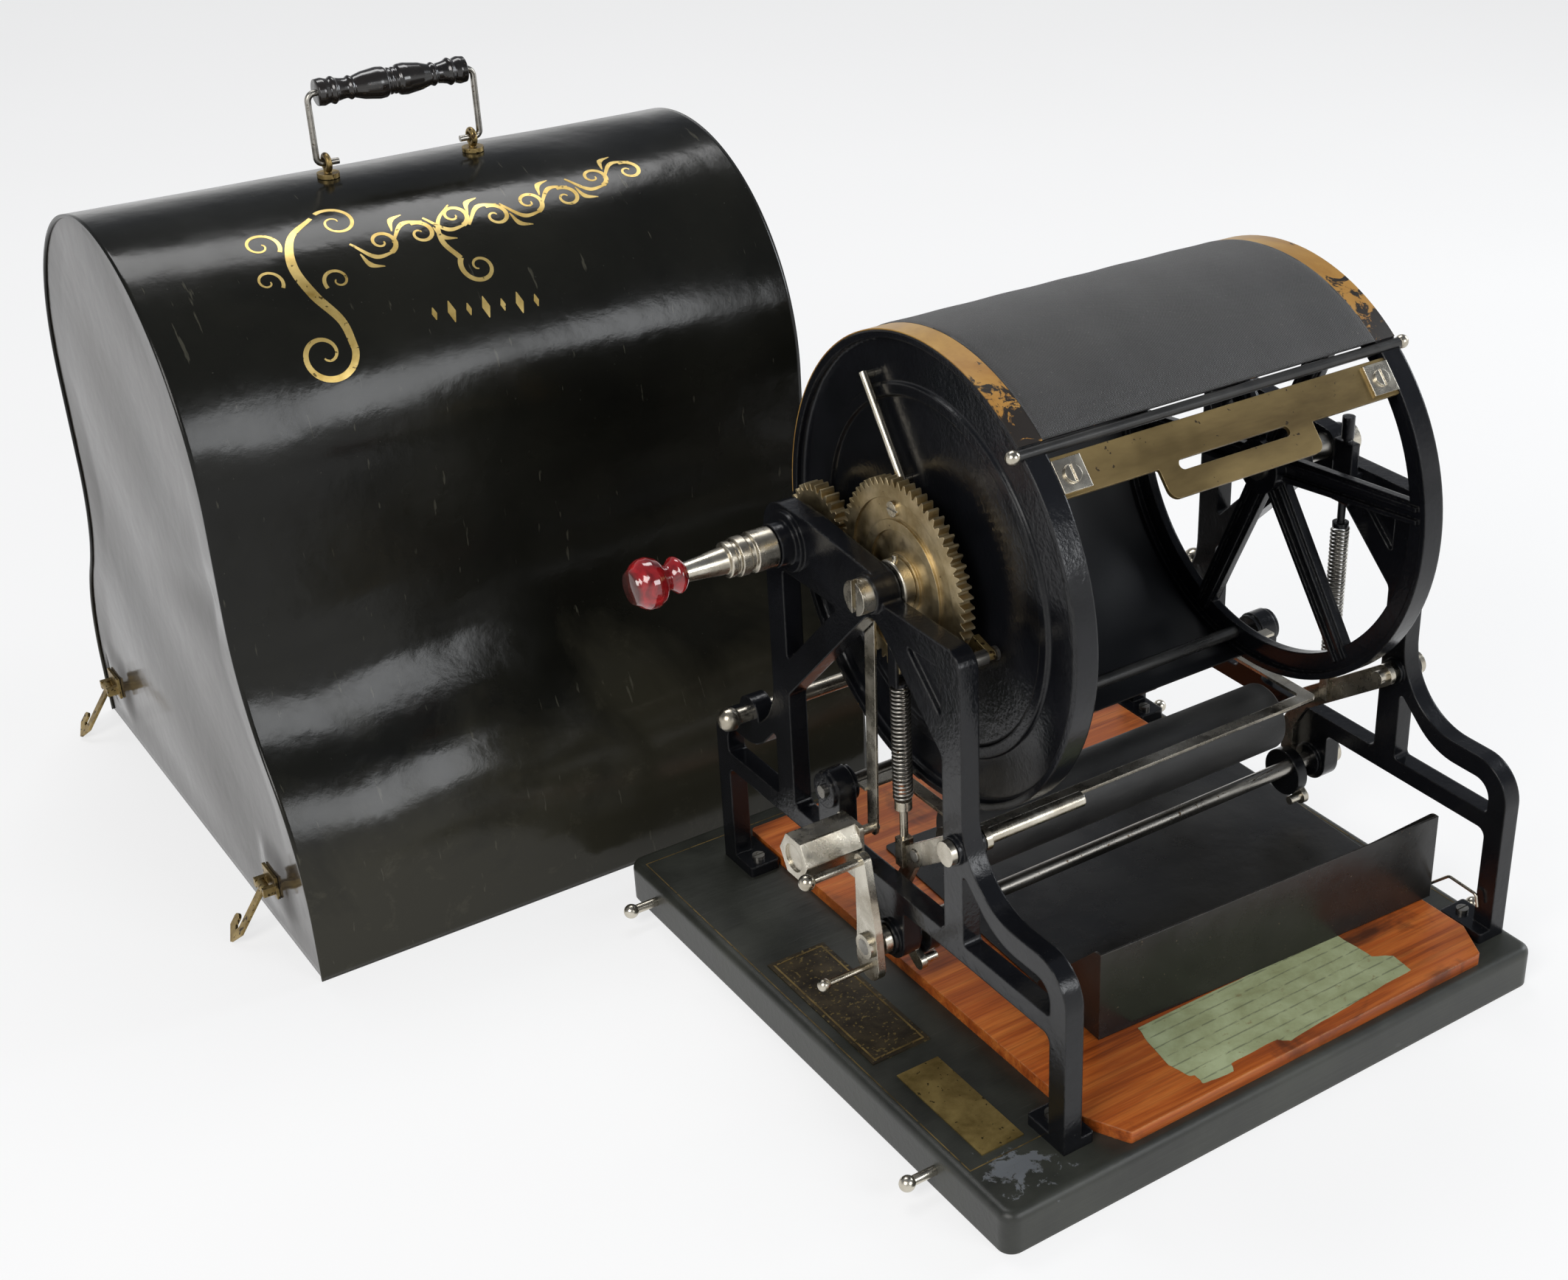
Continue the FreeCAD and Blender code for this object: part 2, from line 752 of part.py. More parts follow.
def drum_shaft():
    """Two stub journals: the drum is open inside and has no through shaft."""
    left = LEFT_OUT - BOSS_PROUD + 1
    left_end = WEB_X + 2 + DISC_HUB + 2
    wheel_hub = DRUM_RIGHT - v.rim_width / 2 - v.hub_length * HUB_INSIDE
    right = wheel_hub - 2
    right_end = RIGHT_OUT + BOSS_PROUD - 1
    keep(grouped("drum_shaft", [
        rod("sizes.shaft_radius", left_end - left, Vector(left, AXIS_Y, AXIS_Z)),
        rod("sizes.shaft_radius", right_end - right, Vector(right, AXIS_Y, AXIS_Z))]))


def drum_sheets():
    """The metal screen round the drum and the inked cloth on it."""
    screen = new_body("drum_screen")
    loop = sector(RIM_RADIUS, v.drum_radius, v.sheet_start, v.sheet_end)
    pad(screen, "YZ_Plane", [loop], "sizes.drum_length")
    keep(on_axis(screen, DRUM_LEFT))
    cloth = new_body("drum_cloth")
    outer = v.drum_radius + v.cloth_thick
    loop = sector(v.drum_radius, outer, v.sheet_start, v.sheet_end - 2)
    pad(cloth, "YZ_Plane", [loop], "sizes.drum_length - 2 * sizes.cloth_margin")
    keep(on_axis(cloth, DRUM_LEFT + v.cloth_margin))


def gear_outline(teeth, turn):
    """An involute spur gear's loop, with one tooth centred on the turn angle."""
    pitch = v.tooth_module * teeth / 2
    base = pitch * math.cos(math.radians(20))
    tip = pitch + v.tooth_module
    root = pitch - 1.25 * v.tooth_module
    thick = math.pi * v.tooth_module / 2 - v.gear_backlash

    def half_angle(radius):
        slope = math.acos(min(1, base / radius))
        involute = math.tan(slope) - slope
        at_pitch = math.tan(math.radians(20)) - math.radians(20)
        return thick / 2 / pitch + at_pitch - involute

    points = []
    for tooth in range(teeth):
        middle = math.radians(turn) + 2 * math.pi * tooth / teeth
        steps = [(root, half_angle(base) * 1.15), (max(base, root), half_angle(base)),
                 (pitch, half_angle(pitch)), (tip, half_angle(tip))]
        flank = [(radius, -half) for radius, half in steps] + [
            (radius, half) for radius, half in reversed(steps)]
        for radius, offset in flank:
            angle = middle + offset
            points.append((radius * math.cos(angle), radius * math.sin(angle)))
    return outline(points)


def drum_gear():
    body = new_body("drum_gear")
    teeth = gear_outline(int(v.drum_teeth), CRANK_ANGLE)
    pad(body, "YZ_Plane", [teeth, circle(0, 0, v.shaft_radius)], "sizes.gear_thick")
    pitch = v.tooth_module * v.drum_teeth / 2
    rings = [circle(0, 0, pitch * 0.84), circle(0, 0, pitch * 0.62),
             circle(0, 0, pitch * 0.52), circle(0, 0, v.hub_radius)]
    pocket(body, "YZ_Plane", rings, v.gear_thick / 4)
    keep(on_axis(body, GEAR_X))


def gear_collar():
    """The pinned collar between gear and frame, and the screw in the gear's web."""
    length = v.gear_from_frame - v.side_gap
    start = GEAR_X - length
    radius = v.hub_radius - 2
    corners = [(0, v.shaft_radius), (0, radius, 1), (length, radius, 1), (length, v.shaft_radius)]
    collar = turned("Collar", corners, start, AXIS_Y, AXIS_Z)
    pin = rod(1.6, 5, Vector(start + length / 2, AXIS_Y, AXIS_Z + radius - 2), Z_AXIS)
    angle = math.radians(80)
    reach = v.tooth_module * v.drum_teeth / 2 * 0.73
    floor = GEAR_X + v.gear_thick / 4
    y = AXIS_Y + reach * math.cos(angle)
    z = AXIS_Z + reach * math.sin(angle)
    head = rod(4.5, 2.5, Vector(floor - 2.5, y, z))
    slot = box((1, 9.2, 1.2), Vector(floor - 2.6, y - 4.6, z - 0.6))
    keep(grouped("gear_collar", [fused("Collar", [collar, pin]), without("Screw", head, slot)]))


def drum_stays():
    """Rods under the sheet that tie the disc to the wheel."""
    pieces = []
    rim = RIM_RADIUS - v.rim_depth / 2 - v.stay_radius - 2.5
    for angle in (v.sheet_start + 9, (v.sheet_start + v.sheet_end) / 2, v.sheet_end - 5):
        turn = math.radians(180 - angle)
        y = AXIS_Y + rim * math.cos(turn)
        z = AXIS_Z + rim * math.sin(turn)
        start = WEB_X + 2
        length = DRUM_RIGHT - v.rim_width / 2 - 3 - start
        pieces.append(rod("sizes.stay_radius", length, Vector(start, y, z)))
    keep(grouped("drum_stays", pieces))


def disc_rod():
    """A nickel rod laid across the disc's outer face."""
    far = Vector(0, 54, 102)
    near = Vector(0, 14, 45)
    radius = 2.5
    face = WEB_X - 2
    centre = Vector(face - 6, AXIS_Y, AXIS_Z)
    pieces = [rod(radius, (far - near).Length, centre + near, far - near)]
    for place in (near * 0.9 + far * 0.1, near * 0.03 + far * 0.97):
        pieces.append(rod(radius * 0.8, 6, centre + place))
    keep(fused("disc_rod", pieces))


def place_on_drum(angle, radius, x):
    """The frame of a flat piece on the drum: its Y is along the drum's turn."""
    turn = math.radians(angle)
    origin = Vector(x, AXIS_Y - radius * math.cos(turn), AXIS_Z + radius * math.sin(turn))
    return Placement(origin, Rotation(X_AXIS, 90 - angle))


def clamp_bar():
    """The flat bar across the drum's open front, with its slotted lower tab."""
    body = new_body("clamp_bar")
    inner = DRUM_LEFT + v.rim_width
    length = v.drum_length - 2 * v.rim_width
    middle = (v.bar_low + v.bar_high) / 2
    radius = RIM_RADIUS - v.rim_depth / 2 + v.bar_thick
    height = 2 * radius * math.sin(math.radians(v.bar_high - v.bar_low) / 2)
    drop = 2 * radius * math.sin(math.radians(v.bar_low - v.tab_low) / 2)
    tab = length * 0.26
    tab_end = tab + v.tab_length
    half = height / 2
    plate = outline([(0, -half, 1), (tab, -half, 1), (tab, -half - drop, 6),
                     (tab_end, -half - drop, 6), (tab_end, -half, 1), (length, -half, 1),
                     (length, half, 1), (0, half, 1)])
    slot_y = -half - 1
    slot = strip([(tab + 16, slot_y), (tab_end - 20, slot_y)], v.tab_slot)
    pad(body, "XY_Plane", [plate, slot], "sizes.bar_thick")
    body.Placement = place_on_drum(middle, radius - v.bar_thick, inner)
    keep(body)


def clamp_fittings():
    """The bar's end brackets with their screws, and the clamp rod's ball ends."""
    pieces = []
    middle = (v.bar_low + v.bar_high) / 2
    radius = RIM_RADIUS - v.rim_depth / 2 + v.bar_thick
    inner = v.rim_width
    for x in (DRUM_LEFT + inner, DRUM_RIGHT - inner - 18):
        plate = box((18, 18, 1.5), Vector(0, -9, 0))
        head = rod(5, 1.5, Vector(9, 0, 1.5), Z_AXIS)
        slot = box((1.2, 12, 1), Vector(8.4, -6, 2.2))
        piece = without("Bracket", fused("Bracket", [plate, head]), slot)
        piece.Placement = place_on_drum(middle, radius, x)
        pieces.append(piece)
    keep(grouped("clamp_fittings", pieces + clamp_balls()))


def clamp_rod_place():
    """Start and length of the rod that holds the cloth's front edge."""
    angle = math.radians(v.sheet_start - ROD_LEAD)
    radius = v.drum_radius + v.cloth_thick - v.clamp_rod
    y = AXIS_Y - radius * math.cos(angle)
    z = AXIS_Z + radius * math.sin(angle)
    return Vector(DRUM_LEFT - 2, y, z), v.drum_length + 4


def clamp_rod():
    start, length = clamp_rod_place()
    keep(rod("sizes.clamp_rod", length, start), "clamp_rod")


def clamp_balls():
    start, length = clamp_rod_place()
    reach = math.sqrt(v.clamp_ball ** 2 - v.clamp_rod ** 2)
    left = start - X_AXIS * reach
    right = start + X_AXIS * (length + reach)
    bite = reach + 5
    return [without("Ball", ball("sizes.clamp_ball", left, 180), rod(v.clamp_rod + 1, bite, start)),
            without("Ball", ball("sizes.clamp_ball", right),
                    rod(v.clamp_rod + 1, bite, start + X_AXIS * (length - bite)))]


# Crank

def crank_pieces():
    fit = v.side_gap
    start = GEAR_X - 1
    outer = LEFT_OUT - v.crank_boss - fit
    shaft_end = GEAR_X + v.gear_thick + 2
    shaft = rod("sizes.crank_shaft", shaft_end - outer + 10, Vector(outer - 10, CRANK_Y, CRANK_Z))
    keep(shaft, "crank_shaft")
    pinion = new_body("crank_pinion")
    turn = CRANK_ANGLE + 180 + 180 / v.crank_teeth
    loops = [gear_outline(int(v.crank_teeth), turn), circle(0, 0, v.crank_shaft)]
    pad(pinion, "YZ_Plane", loops, v.gear_thick + 2)
    pinion.Placement = Placement(Vector(start, CRANK_Y, CRANK_Z), Rotation())
    keep(pinion)
    sleeve_crank(outer)


def sleeve_crank(outer):
    """The nickel grip socket in line with the shaft and its red turned knob."""
    radius = v.sleeve_radius
    long = v.sleeve_length
    neck = v.neck_length
    core = v.crank_shaft
    corners = [(0, core), (0, radius, 1), (-long * 0.45, radius, 0.5), (-long * 0.48, radius - 2),
               (-long * 0.56, radius - 2), (-long * 0.6, radius - 0.5, 0.5),
               (-long * 0.78, radius - 0.5, 0.5), (-long * 0.8, radius - 2.5),
               (-long * 0.86, radius - 2.5), (-long * 0.88, radius - 1.5, 0.5),
               (-long, radius - 1.5, 1), (-long - 0.5, radius - 4),
               (-long - neck, radius - 6.5), (-long - neck, 0), (-10, 0), (-10, core)]
    keep(turned("crank_sleeve", corners, outer, CRANK_Y, CRANK_Z))
    size = v.knob_radius
    reach = v.knob_length
    start = outer - long - neck
    corners = [(0, 0), (0, size * 0.5, 1), (-reach * 0.14, size * 0.72, 2),
               (-reach * 0.3, size * 0.45, 3), (-reach * 0.5, size * 0.95, 5),
               (-reach * 0.78, size, 5), (-reach * 0.92, size * 0.72, 1), (-reach, size * 0.7, 1),
               (-reach, 0)]
    keep(turned("crank_knob", corners, start, CRANK_Y, CRANK_Z))


# Impression roller and its carrier

def on_arm(distance):
    """A place on the lifting arms' middle line, which runs from pivot to roller."""
    slope = (v.roller_height - v.pivot_height) / (v.roller_back - v.pivot_back)
    return back(distance), v.pivot_height + slope * (distance - v.pivot_back)


def cam_stud_place():
    """Where the arm's stud lies under the cam while the roller is down."""
    start = math.radians(v.cam_start)
    cam_y = TRIP_Y + v.cam_throw * math.sin(start)
    cam_z = v.trip_height - v.cam_throw * math.cos(start)
    reach = v.cam_radius + v.cam_stud + v.cam_gap
    return ROLLER_Y, cam_z - math.sqrt(reach ** 2 - (ROLLER_Y - cam_y) ** 2)


def lift_arm(label, x, spring, cam_side):
    """A flat lever from the pivot past the roller's bearing, with a leg to the cam."""
    body = new_body(label)
    fit = v.running_fit
    eye = on_arm(spring)
    end = on_arm(max(spring, v.roller_back))
    holes = [circle(ROLLER_Y, v.roller_height, v.roller_shaft + fit),
             circle(PIVOT_Y, v.pivot_height, v.pivot_radius),
             circle(*eye, v.spring_rod + fit)]
    line = strip([(PIVOT_Y, v.pivot_height), end], v.arm_wide)
    pad(body, "YZ_Plane", [line], "sizes.arm_thick", x)
    stud_y, stud_z = cam_stud_place()
    behind = TRIP_Y + v.trip_radius + 7.5
    leg = strip([(ROLLER_Y + 4, v.roller_height - 5), (behind, v.roller_height - 26),
                 (behind, stud_z + 10), (stud_y, stud_z)], 10)
    pad(body, "YZ_Plane", [leg], "sizes.arm_thick", x)
    pocket(body, "YZ_Plane", holes, "sizes.arm_thick", x)
    stud_x = x + v.arm_thick if cam_side > 0 else x - CAM_WIDTH
    pad(body, "YZ_Plane", [circle(stud_y, stud_z, v.cam_stud)], CAM_WIDTH, stud_x)
    keep(body)


def carrier():
    """Both lifting arms, the rods they turn on, and their heads."""
    lift_arm("lift_arm_left", ARM_LEFT_X, v.spring_left, 1)
    lift_arm("lift_arm_right", ARM_RIGHT_X, v.spring_right, -1)
    outer = LEFT_OUT - BOSS_PROUD - v.side_gap
    reach = v.pivot_reach - BOSS_PROUD
    start = Vector(outer, PIVOT_Y, v.pivot_height)
    long = rod("sizes.pivot_radius", v.frame_thick + BOSS_PROUD + reach, start)
    inner = ARM_RIGHT_X - 6
    length = RIGHT_OUT + BOSS_PROUD + v.side_gap - inner
    short = rod("sizes.pivot_radius", length, Vector(inner, PIVOT_Y, v.pivot_height))
    heads = [rod(v.pivot_radius + 3, 4, Vector(x, PIVOT_Y, v.pivot_height))
             for x in (outer - 4, inner + length)]
    pair = [fused("Pivot", [long, heads[0]]), fused("Pivot", [short, heads[1]])]
    keep(grouped("pivot_rods", pair))


def roller():
    length = v.roller_length
    start = v.drum_centre - length / 2
    corners = [(0, v.roller_core), (0, v.roller_radius, 1.5), (length, v.roller_radius, 1.5),
               (length, v.roller_core)]
    keep(turned("impression_roller", corners, start, ROLLER_Y, v.roller_height))
    left = ARM_LEFT_X - 1
    right = ARM_RIGHT_X + v.arm_thick + 2
    shaft = v.roller_shaft
    core = v.roller_core
    inner = start + length + 8
    corners = [(left, 0), (left, shaft, 0.5), (start - 8, shaft), (start - 8, core),
               (inner, core), (inner, shaft), (right, shaft, 0.5), (right, 0)]
    keep(turned("roller_shaft", corners, 0, ROLLER_Y, v.roller_height))


# Springs

def tangent_arc(start, heading, end):
    chord = end - start
    unit = Vector(chord).normalize()
    side = (heading - unit * heading.dot(unit)).normalize()
    swing = math.acos(max(-1, min(1, heading.dot(unit))))
    middle = (start + end) * 0.5 + side * (chord.Length / 2 * math.tan(swing / 2))
    return Part.Arc(start, middle, end).toShape()


def biarc(start, heading, end, arrival):
    """Two tangent arcs from one point and direction to another."""
    gap = end - start
    along = gap.dot(heading + arrival)
    bend = 2 * (1 - heading.dot(arrival))
    reach = (-along + math.sqrt(along * along + bend * gap.dot(gap))) / bend
    joint = (start + heading * reach + end - arrival * reach) * 0.5
    first = tangent_arc(start, heading, joint)
    last = tangent_arc(end, arrival * -1, joint)
    return [first, last.reversed()]


def coil(x, y, low, high):
    """A spring as one unbroken tube: quarter turns, each a pair of arcs."""
    radius = v.spring_radius
    turns = round((high - low) / v.spring_pitch)
    pitch = (high - low) / turns
    lead = pitch / (2 * math.pi)

    def point(angle):
        return Vector(x + radius * math.cos(angle), y + radius * math.sin(angle), low + lead * angle)

    def heading(angle):
        return Vector(-radius * math.sin(angle), radius * math.cos(angle), lead).normalize()

    edges = []
    for quarter in range(turns * 4):
        here = quarter * math.pi / 2
        there = here + math.pi / 2
        edges += biarc(point(here), heading(here), point(there), heading(there))
    ring = Part.Wire(Part.Circle(point(0), heading(0), v.spring_wire / 2).toShape())
    tube = Part.Wire(edges).makePipeShell([ring], True, False)
    clearance = pitch * math.cos(math.atan(lead / radius)) - v.spring_wire
    print(f"coil: {turns} turns, least gap to itself {clearance:.2f} mm, volume {tube.Volume:.0f}")
    return tube


def springs():
    """Two coil springs that draw the arms up, each hung from its frame."""
    left_x = ARM_LEFT_X + v.arm_thick / 2
    right_x = ARM_RIGHT_X + v.arm_thick / 2
    left = on_arm(v.spring_left)
    right = on_arm(v.spring_right)
    keep(shaped("spring_left", coil(left_x, left[0], v.spring_left_low, v.spring_left_high)))
    keep(shaped("spring_right", coil(right_x, right[0], v.spring_right_low, v.spring_right_high)))
    links = [spring_link(left_x, *left, v.spring_left_low),
             spring_link(right_x, *right, v.spring_right_low)]
    keep(grouped("spring_links", links))
    hangers = [left_hanger(left_x, left[0], v.spring_left_high),
               right_hanger(right_x, right[0], v.spring_right_high)]
    keep(grouped("spring_hangers", hangers))


def spring_link(x, y, z, low):
    """A stirrup pinned to the arm, its bolt, lock nut and the cup under the spring."""
    gap = 0.1
    arm = v.arm_thick / 2
    bridge = z + v.arm_wide * 0.62 + 3.2
    cup = low - v.spring_wire / 2 - 0.2 - 6
    pieces = [rod(v.spring_rod, v.arm_thick + 4 + 2 * gap, Vector(x - arm - 2 - gap, y, z)),
              box((v.arm_thick + 4 + 2 * gap, 7, 3), Vector(x - arm - 2 - gap, y - 3.5, bridge)),
              rod(v.spring_rod, cup - bridge, Vector(x, y, bridge), Z_AXIS),
              rod(v.spring_radius, 6, Vector(x, y, cup), Z_AXIS)]
    for side in (x - arm - 2 - gap, x + arm + gap):
        pieces.append(box((2, 7, bridge + 3 - z + 4), Vector(side, y - 3.5, z - 4)))
    return fused("Link", pieces)


def left_hanger(x, y, high):
    """Cap, flat hook past the gear, and the stud under the drum's bearing."""
    top = AXIS_Z - v.boss_radius - 7
    low = high + v.spring_wire / 2 + 0.2
    cap = rod(v.spring_radius, 2, Vector(x, y, low), Z_AXIS)
    hook = box((2, 8, top - low + 5), Vector(LEFT_IN + 1.5, y - 4, low))
    stud = rod(3, 6, Vector(LEFT_IN, y, top))
    return fused("Hanger", [cap, hook, stud])


def right_hanger(x, y, high):
    """Cap and adjusting rod, held by an upright plate on the right frame's arm."""
    low = high + v.spring_wire / 2 + 0.2
    top = v.spring_rod_top
    cap = rod(v.spring_radius, 3, Vector(x, y, low), Z_AXIS)
    bolt = rod(v.spring_rod, top - low, Vector(x, y, low), Z_AXIS)
    head = rod(4, 14, Vector(x, y, top - 14), Z_AXIS)
    plate = box((6, 16, 40), Vector(x - 3, y - 8, v.arm_top - 22))
    foot = box((RIGHT_IN - x, 16, 12), Vector(x, y - 8, v.arm_top - 14))
    return fused("Hanger", [cap, bolt, head, plate, foot])


# Trip shaft

def trip():
    """The shaft across the bed, its two cams, and the hand lever outside."""
    start = LEFT_OUT - BOSS_PROUD - 16
    length = RIGHT_OUT + BOSS_PROUD + 2 - start
    keep(rod("sizes.trip_radius", length, Vector(start, TRIP_Y, v.trip_height)), "trip_shaft")
    angle = math.radians(v.cam_start)
    cam_y = v.cam_throw * math.sin(angle)
    cam_z = -v.cam_throw * math.cos(angle)
    pieces = []
    for x in (ARM_LEFT_X + v.arm_thick + 1, ARM_RIGHT_X - CAM_WIDTH):
        wide = CAM_WIDTH - 1
        cam = rod(v.cam_radius, wide, Vector(x, TRIP_Y + cam_y, v.trip_height + cam_z))
        bore = rod(v.trip_radius, wide + 2, Vector(x - 1, TRIP_Y, v.trip_height))
        pieces.append(without("Cam", cam, bore))
    keep(grouped("trip_cams", pieces))
    collars = []
    for x in (LEFT_OUT - BOSS_PROUD - 5.5, RIGHT_OUT + BOSS_PROUD + 0.5):
        ring = rod(v.trip_radius + 4, 5, Vector(x, TRIP_Y, v.trip_height))
        bore = rod(v.trip_radius, 7, Vector(x - 1, TRIP_Y, v.trip_height))
        collars.append(without("Collar", ring, bore))
    nut = rod(v.trip_radius + 3, 3, Vector(start, TRIP_Y, v.trip_height))
    bore = rod(v.trip_radius, 5, Vector(start - 1, TRIP_Y, v.trip_height))
    keep(grouped("trip_collars", collars + [without("Nut", nut, bore)]))
    trip_lever(start + 3)


def trip_lever(x):
    """A pear-shaped lever with a ball-ended peg at its top and a small one below."""
    body = new_body("trip_lever")
    y = TRIP_Y
    z = v.trip_height
    top = (y + 6, z + v.trip_arm)
    pear = outline([(y - 12, z - 24, 11), (y + 13, z - 24, 12), (y + 11, z + 12, 14),
                    (top[0] + 5, top[1] + 5, 4.9), (top[0] - 5, top[1] + 5, 4.9),
                    (y - 9, z + 12, 14)])
    pad(body, "YZ_Plane", [pear, circle(y, z, v.trip_radius)], LEVER_THICK, x)
    keep(body)
    pegs = []
    for (peg_y, peg_z), reach, radius in ((top, 35, 2.5), ((y + 1, z - 16), 30, 2)):
        centre = Vector(x - reach, peg_y, peg_z)
        pegs.append(fused("Peg", [rod(radius, reach, centre), ball(radius * 2, centre, 180)]))
    keep(grouped("trip_pegs", pegs))


# Counter, feed and guide

def counter():
    """The impression counter on the left frame, its bracket and its drive link."""
    y = back(v.counter_back)
    z = v.counter_height
    start = LEFT_OUT - BOSS_PROUD - v.counter_length
    case = new_body("counter_case")
    radius = v.counter_across / 2 / math.cos(math.radians(30))
    corners = [(y + radius * math.cos(math.radians(60 * i)),
                z + radius * math.sin(math.radians(60 * i)), 1) for i in range(6)]
    pad(case, "YZ_Plane", [outline(corners)], "sizes.counter_length", start)
    pocket(case, "YZ_Plane", [circle(y, z, v.counter_across * 0.34)], 1.5, start)
    keep(case)
    bracket = new_body("counter_bracket")
    low = v.rail_low
    plate = outline([(y - 12, low, 2), (y + 12, low, 2), (y + 12, z + 12, 3), (y - 12, z + 12, 3)])
    pad(bracket, "YZ_Plane", [plate], float(BOSS_PROUD), LEFT_OUT - BOSS_PROUD)
    keep(bracket)
    axle = rod(3, LEFT_IN + 5 - LEFT_OUT, Vector(LEFT_OUT, y, z))
    link = new_body("Link")
    top = (y - 4, AXIS_Z - 29)
    line = strip([(y, z), top], 10)
    pad(link, "YZ_Plane", [line, circle(y, z, 3)], 1.5, LEFT_IN + 1.5)
    pad(link, "YZ_Plane", [circle(*top, 3)], 3.0, float(LEFT_IN))
    keep(grouped("counter_link", [link, axle]))


def pawl():
    """The brass stop pawl below the crank, and the pin it swings on."""
    y = back(PAWL_BACK)
    z = PAWL_HEIGHT
    x = LEFT_IN + 8.5
    body = new_body("stop_pawl")
    lever = strip([(y, z), (y + 11, z + 3), (y + 15, z - 4)], 6)
    pad(body, "YZ_Plane", [lever, circle(y, z, 2.5 + v.running_fit)], 4.0, x)
    keep(body)
    pin = rod(2.5, 15, Vector(LEFT_IN, y, z))
    head = rod(4, 2, Vector(LEFT_IN + 13, y, z))
    spacer = rod(4, 8, Vector(LEFT_IN, y, z))
    keep(fused("pawl_pin", [pin, head, spacer]))


def feed():
    """The paper feed shaft with its two friction wheels."""
    y = back(v.feed_back)
    start = LEFT_OUT - BOSS_PROUD - 2
    length = RIGHT_OUT + BOSS_PROUD + 2 - start
    shaft = rod("sizes.feed_shaft", length, Vector(start, y, v.feed_height))
    wheels = []
    hubs = []
    for x in (v.drum_centre - 60, v.drum_centre + 66):
        wheel = rod("sizes.feed_radius", "sizes.feed_width", Vector(x, y, v.feed_height))
        bore = rod(v.feed_shaft + 4, v.feed_width + 2, Vector(x - 1, y, v.feed_height))
        wheels.append(without("Wheel", wheel, bore))
        hubs.append(rod(v.feed_shaft + 4, v.feed_width + 6, Vector(x - 3, y, v.feed_height)))
    keep(grouped("feed_wheels", wheels))
    keep(fused("feed_shaft", [shaft] + hubs))


def guide_frame():
    """The flat nickel guide that leads the sheet between the roller and drum."""
    body = new_body("guide_frame")
    left = DRUM_LEFT - 2
    right = DRUM_RIGHT + 2
    front = back(v.guide_front)
    rear = back(v.guide_rear)
    bar = v.guide_bar
    outer = outline([(left, front, 4), (right, front, 4), (right, rear), (RIGHT_IN, rear),
                     (RIGHT_IN, rear + bar), (LEFT_IN, rear + bar), (LEFT_IN, rear), (left, rear)])
    inner = outline([(left + bar, front + bar, 3), (right - bar, front + bar, 3),
                     (right - bar, rear, 3), (left + bar, rear, 3)])
    pad(body, "XY_Plane", [outer, inner], 2.0, v.guide_height)
    keep(body)


# Receiving tray

def tray():
    """The sheet-metal tray: floor, upright front wall and two corner gussets."""
    place = Vector(v.tray_left - v.board_width / 2, back(v.tray_front),
                   MAT_TOP + v.tray_clearance)
    turn = Rotation(Z_AXIS, v.tray_turn)
    sheet = v.tray_sheet
    width = v.tray_width
    tall = v.tray_height
    body = new_body("tray")
    floor = outline([(0, 0), (width, 0), (width, v.tray_depth, 4), (0, v.tray_depth, 4)])
    pad(body, "XY_Plane", [floor], "sizes.tray_sheet")
    wall = outline([(0, 0), (width, 0), (width, sheet), (0, sheet)])
    pad(body, "XY_Plane", [wall], "sizes.tray_height")
    gusset = outline([(0, 0), (v.tray_gusset, 0), (v.tray_gusset, sheet + 2, 2),
                      (sheet + 4, tall, 6), (0, tall)])
    pad(body, "YZ_Plane", [gusset], "sizes.tray_sheet", 0.0)
    pad(body, "YZ_Plane", [gusset], "sizes.tray_sheet", width - sheet)
    body.Placement = Placement(place, turn)
    keep(body)
    out = v.hook_stand
    wire = shaped("tray_hook", bent_wire(
        [Vector(0, 0, 0), Vector(out, 0, 0), Vector(out, -16, 15), Vector(out, -40, 15),
         Vector(out, -42, 7)], [1.4, 5, 3], v.hook_wire))
    corner = turn.multVec(Vector(width, 4, 6))
    wire.Placement = Placement(place + corner, turn)
    keep(wire)


# Hood

def hood_side(gap, side):
    """One flared side of the hood's section, from its foot to the shoulder."""
    inset = v.hood_inset
    low = v.hood_flare_low
    high = v.hood_flare_high
    half = v.board_depth / 2
    swing = 2 * math.atan(inset / (high - low))
    radius = (high - low) / (2 * math.sin(swing))

    def point(centre_y, centre_z, reach, angle):
        return Vector(side * (centre_y + reach * math.cos(angle)),
                      centre_z + reach * math.sin(angle), 0)

    def arc(centre_y, centre_z, reach, start, end):
        return [point(centre_y, centre_z, reach, a) for a in (start, (start + end) / 2, end)]

    lower = arc(half - radius, low, radius - gap, 0, swing)
    upper = arc(half - inset + radius, high, radius + gap, math.pi + swing, math.pi)
    foot = Vector(side * (half - gap), 0, 0)
    shoulder = Vector(side * (half - inset - gap), v.hood_shoulder, 0)
    curves = [Part.LineSegment(foot, lower[0]), Part.Arc(*lower),
              Part.Arc(lower[2], upper[1], upper[2]), Part.LineSegment(upper[2], shoulder)]
    return foot, curves, shoulder


def hood_section(gap):
    """The hood's whole section, open at the bottom, offset inward by a gap."""
    right_foot, right, right_top = hood_side(gap, 1)
    left_foot, left, left_top = hood_side(gap, -1)
    reach = v.board_depth / 2 - v.hood_inset - gap
    crown = Part.Arc(right_top, Vector(0, v.hood_shoulder + reach, 0), left_top)
    return left_foot, left + [crown] + right, right_foot


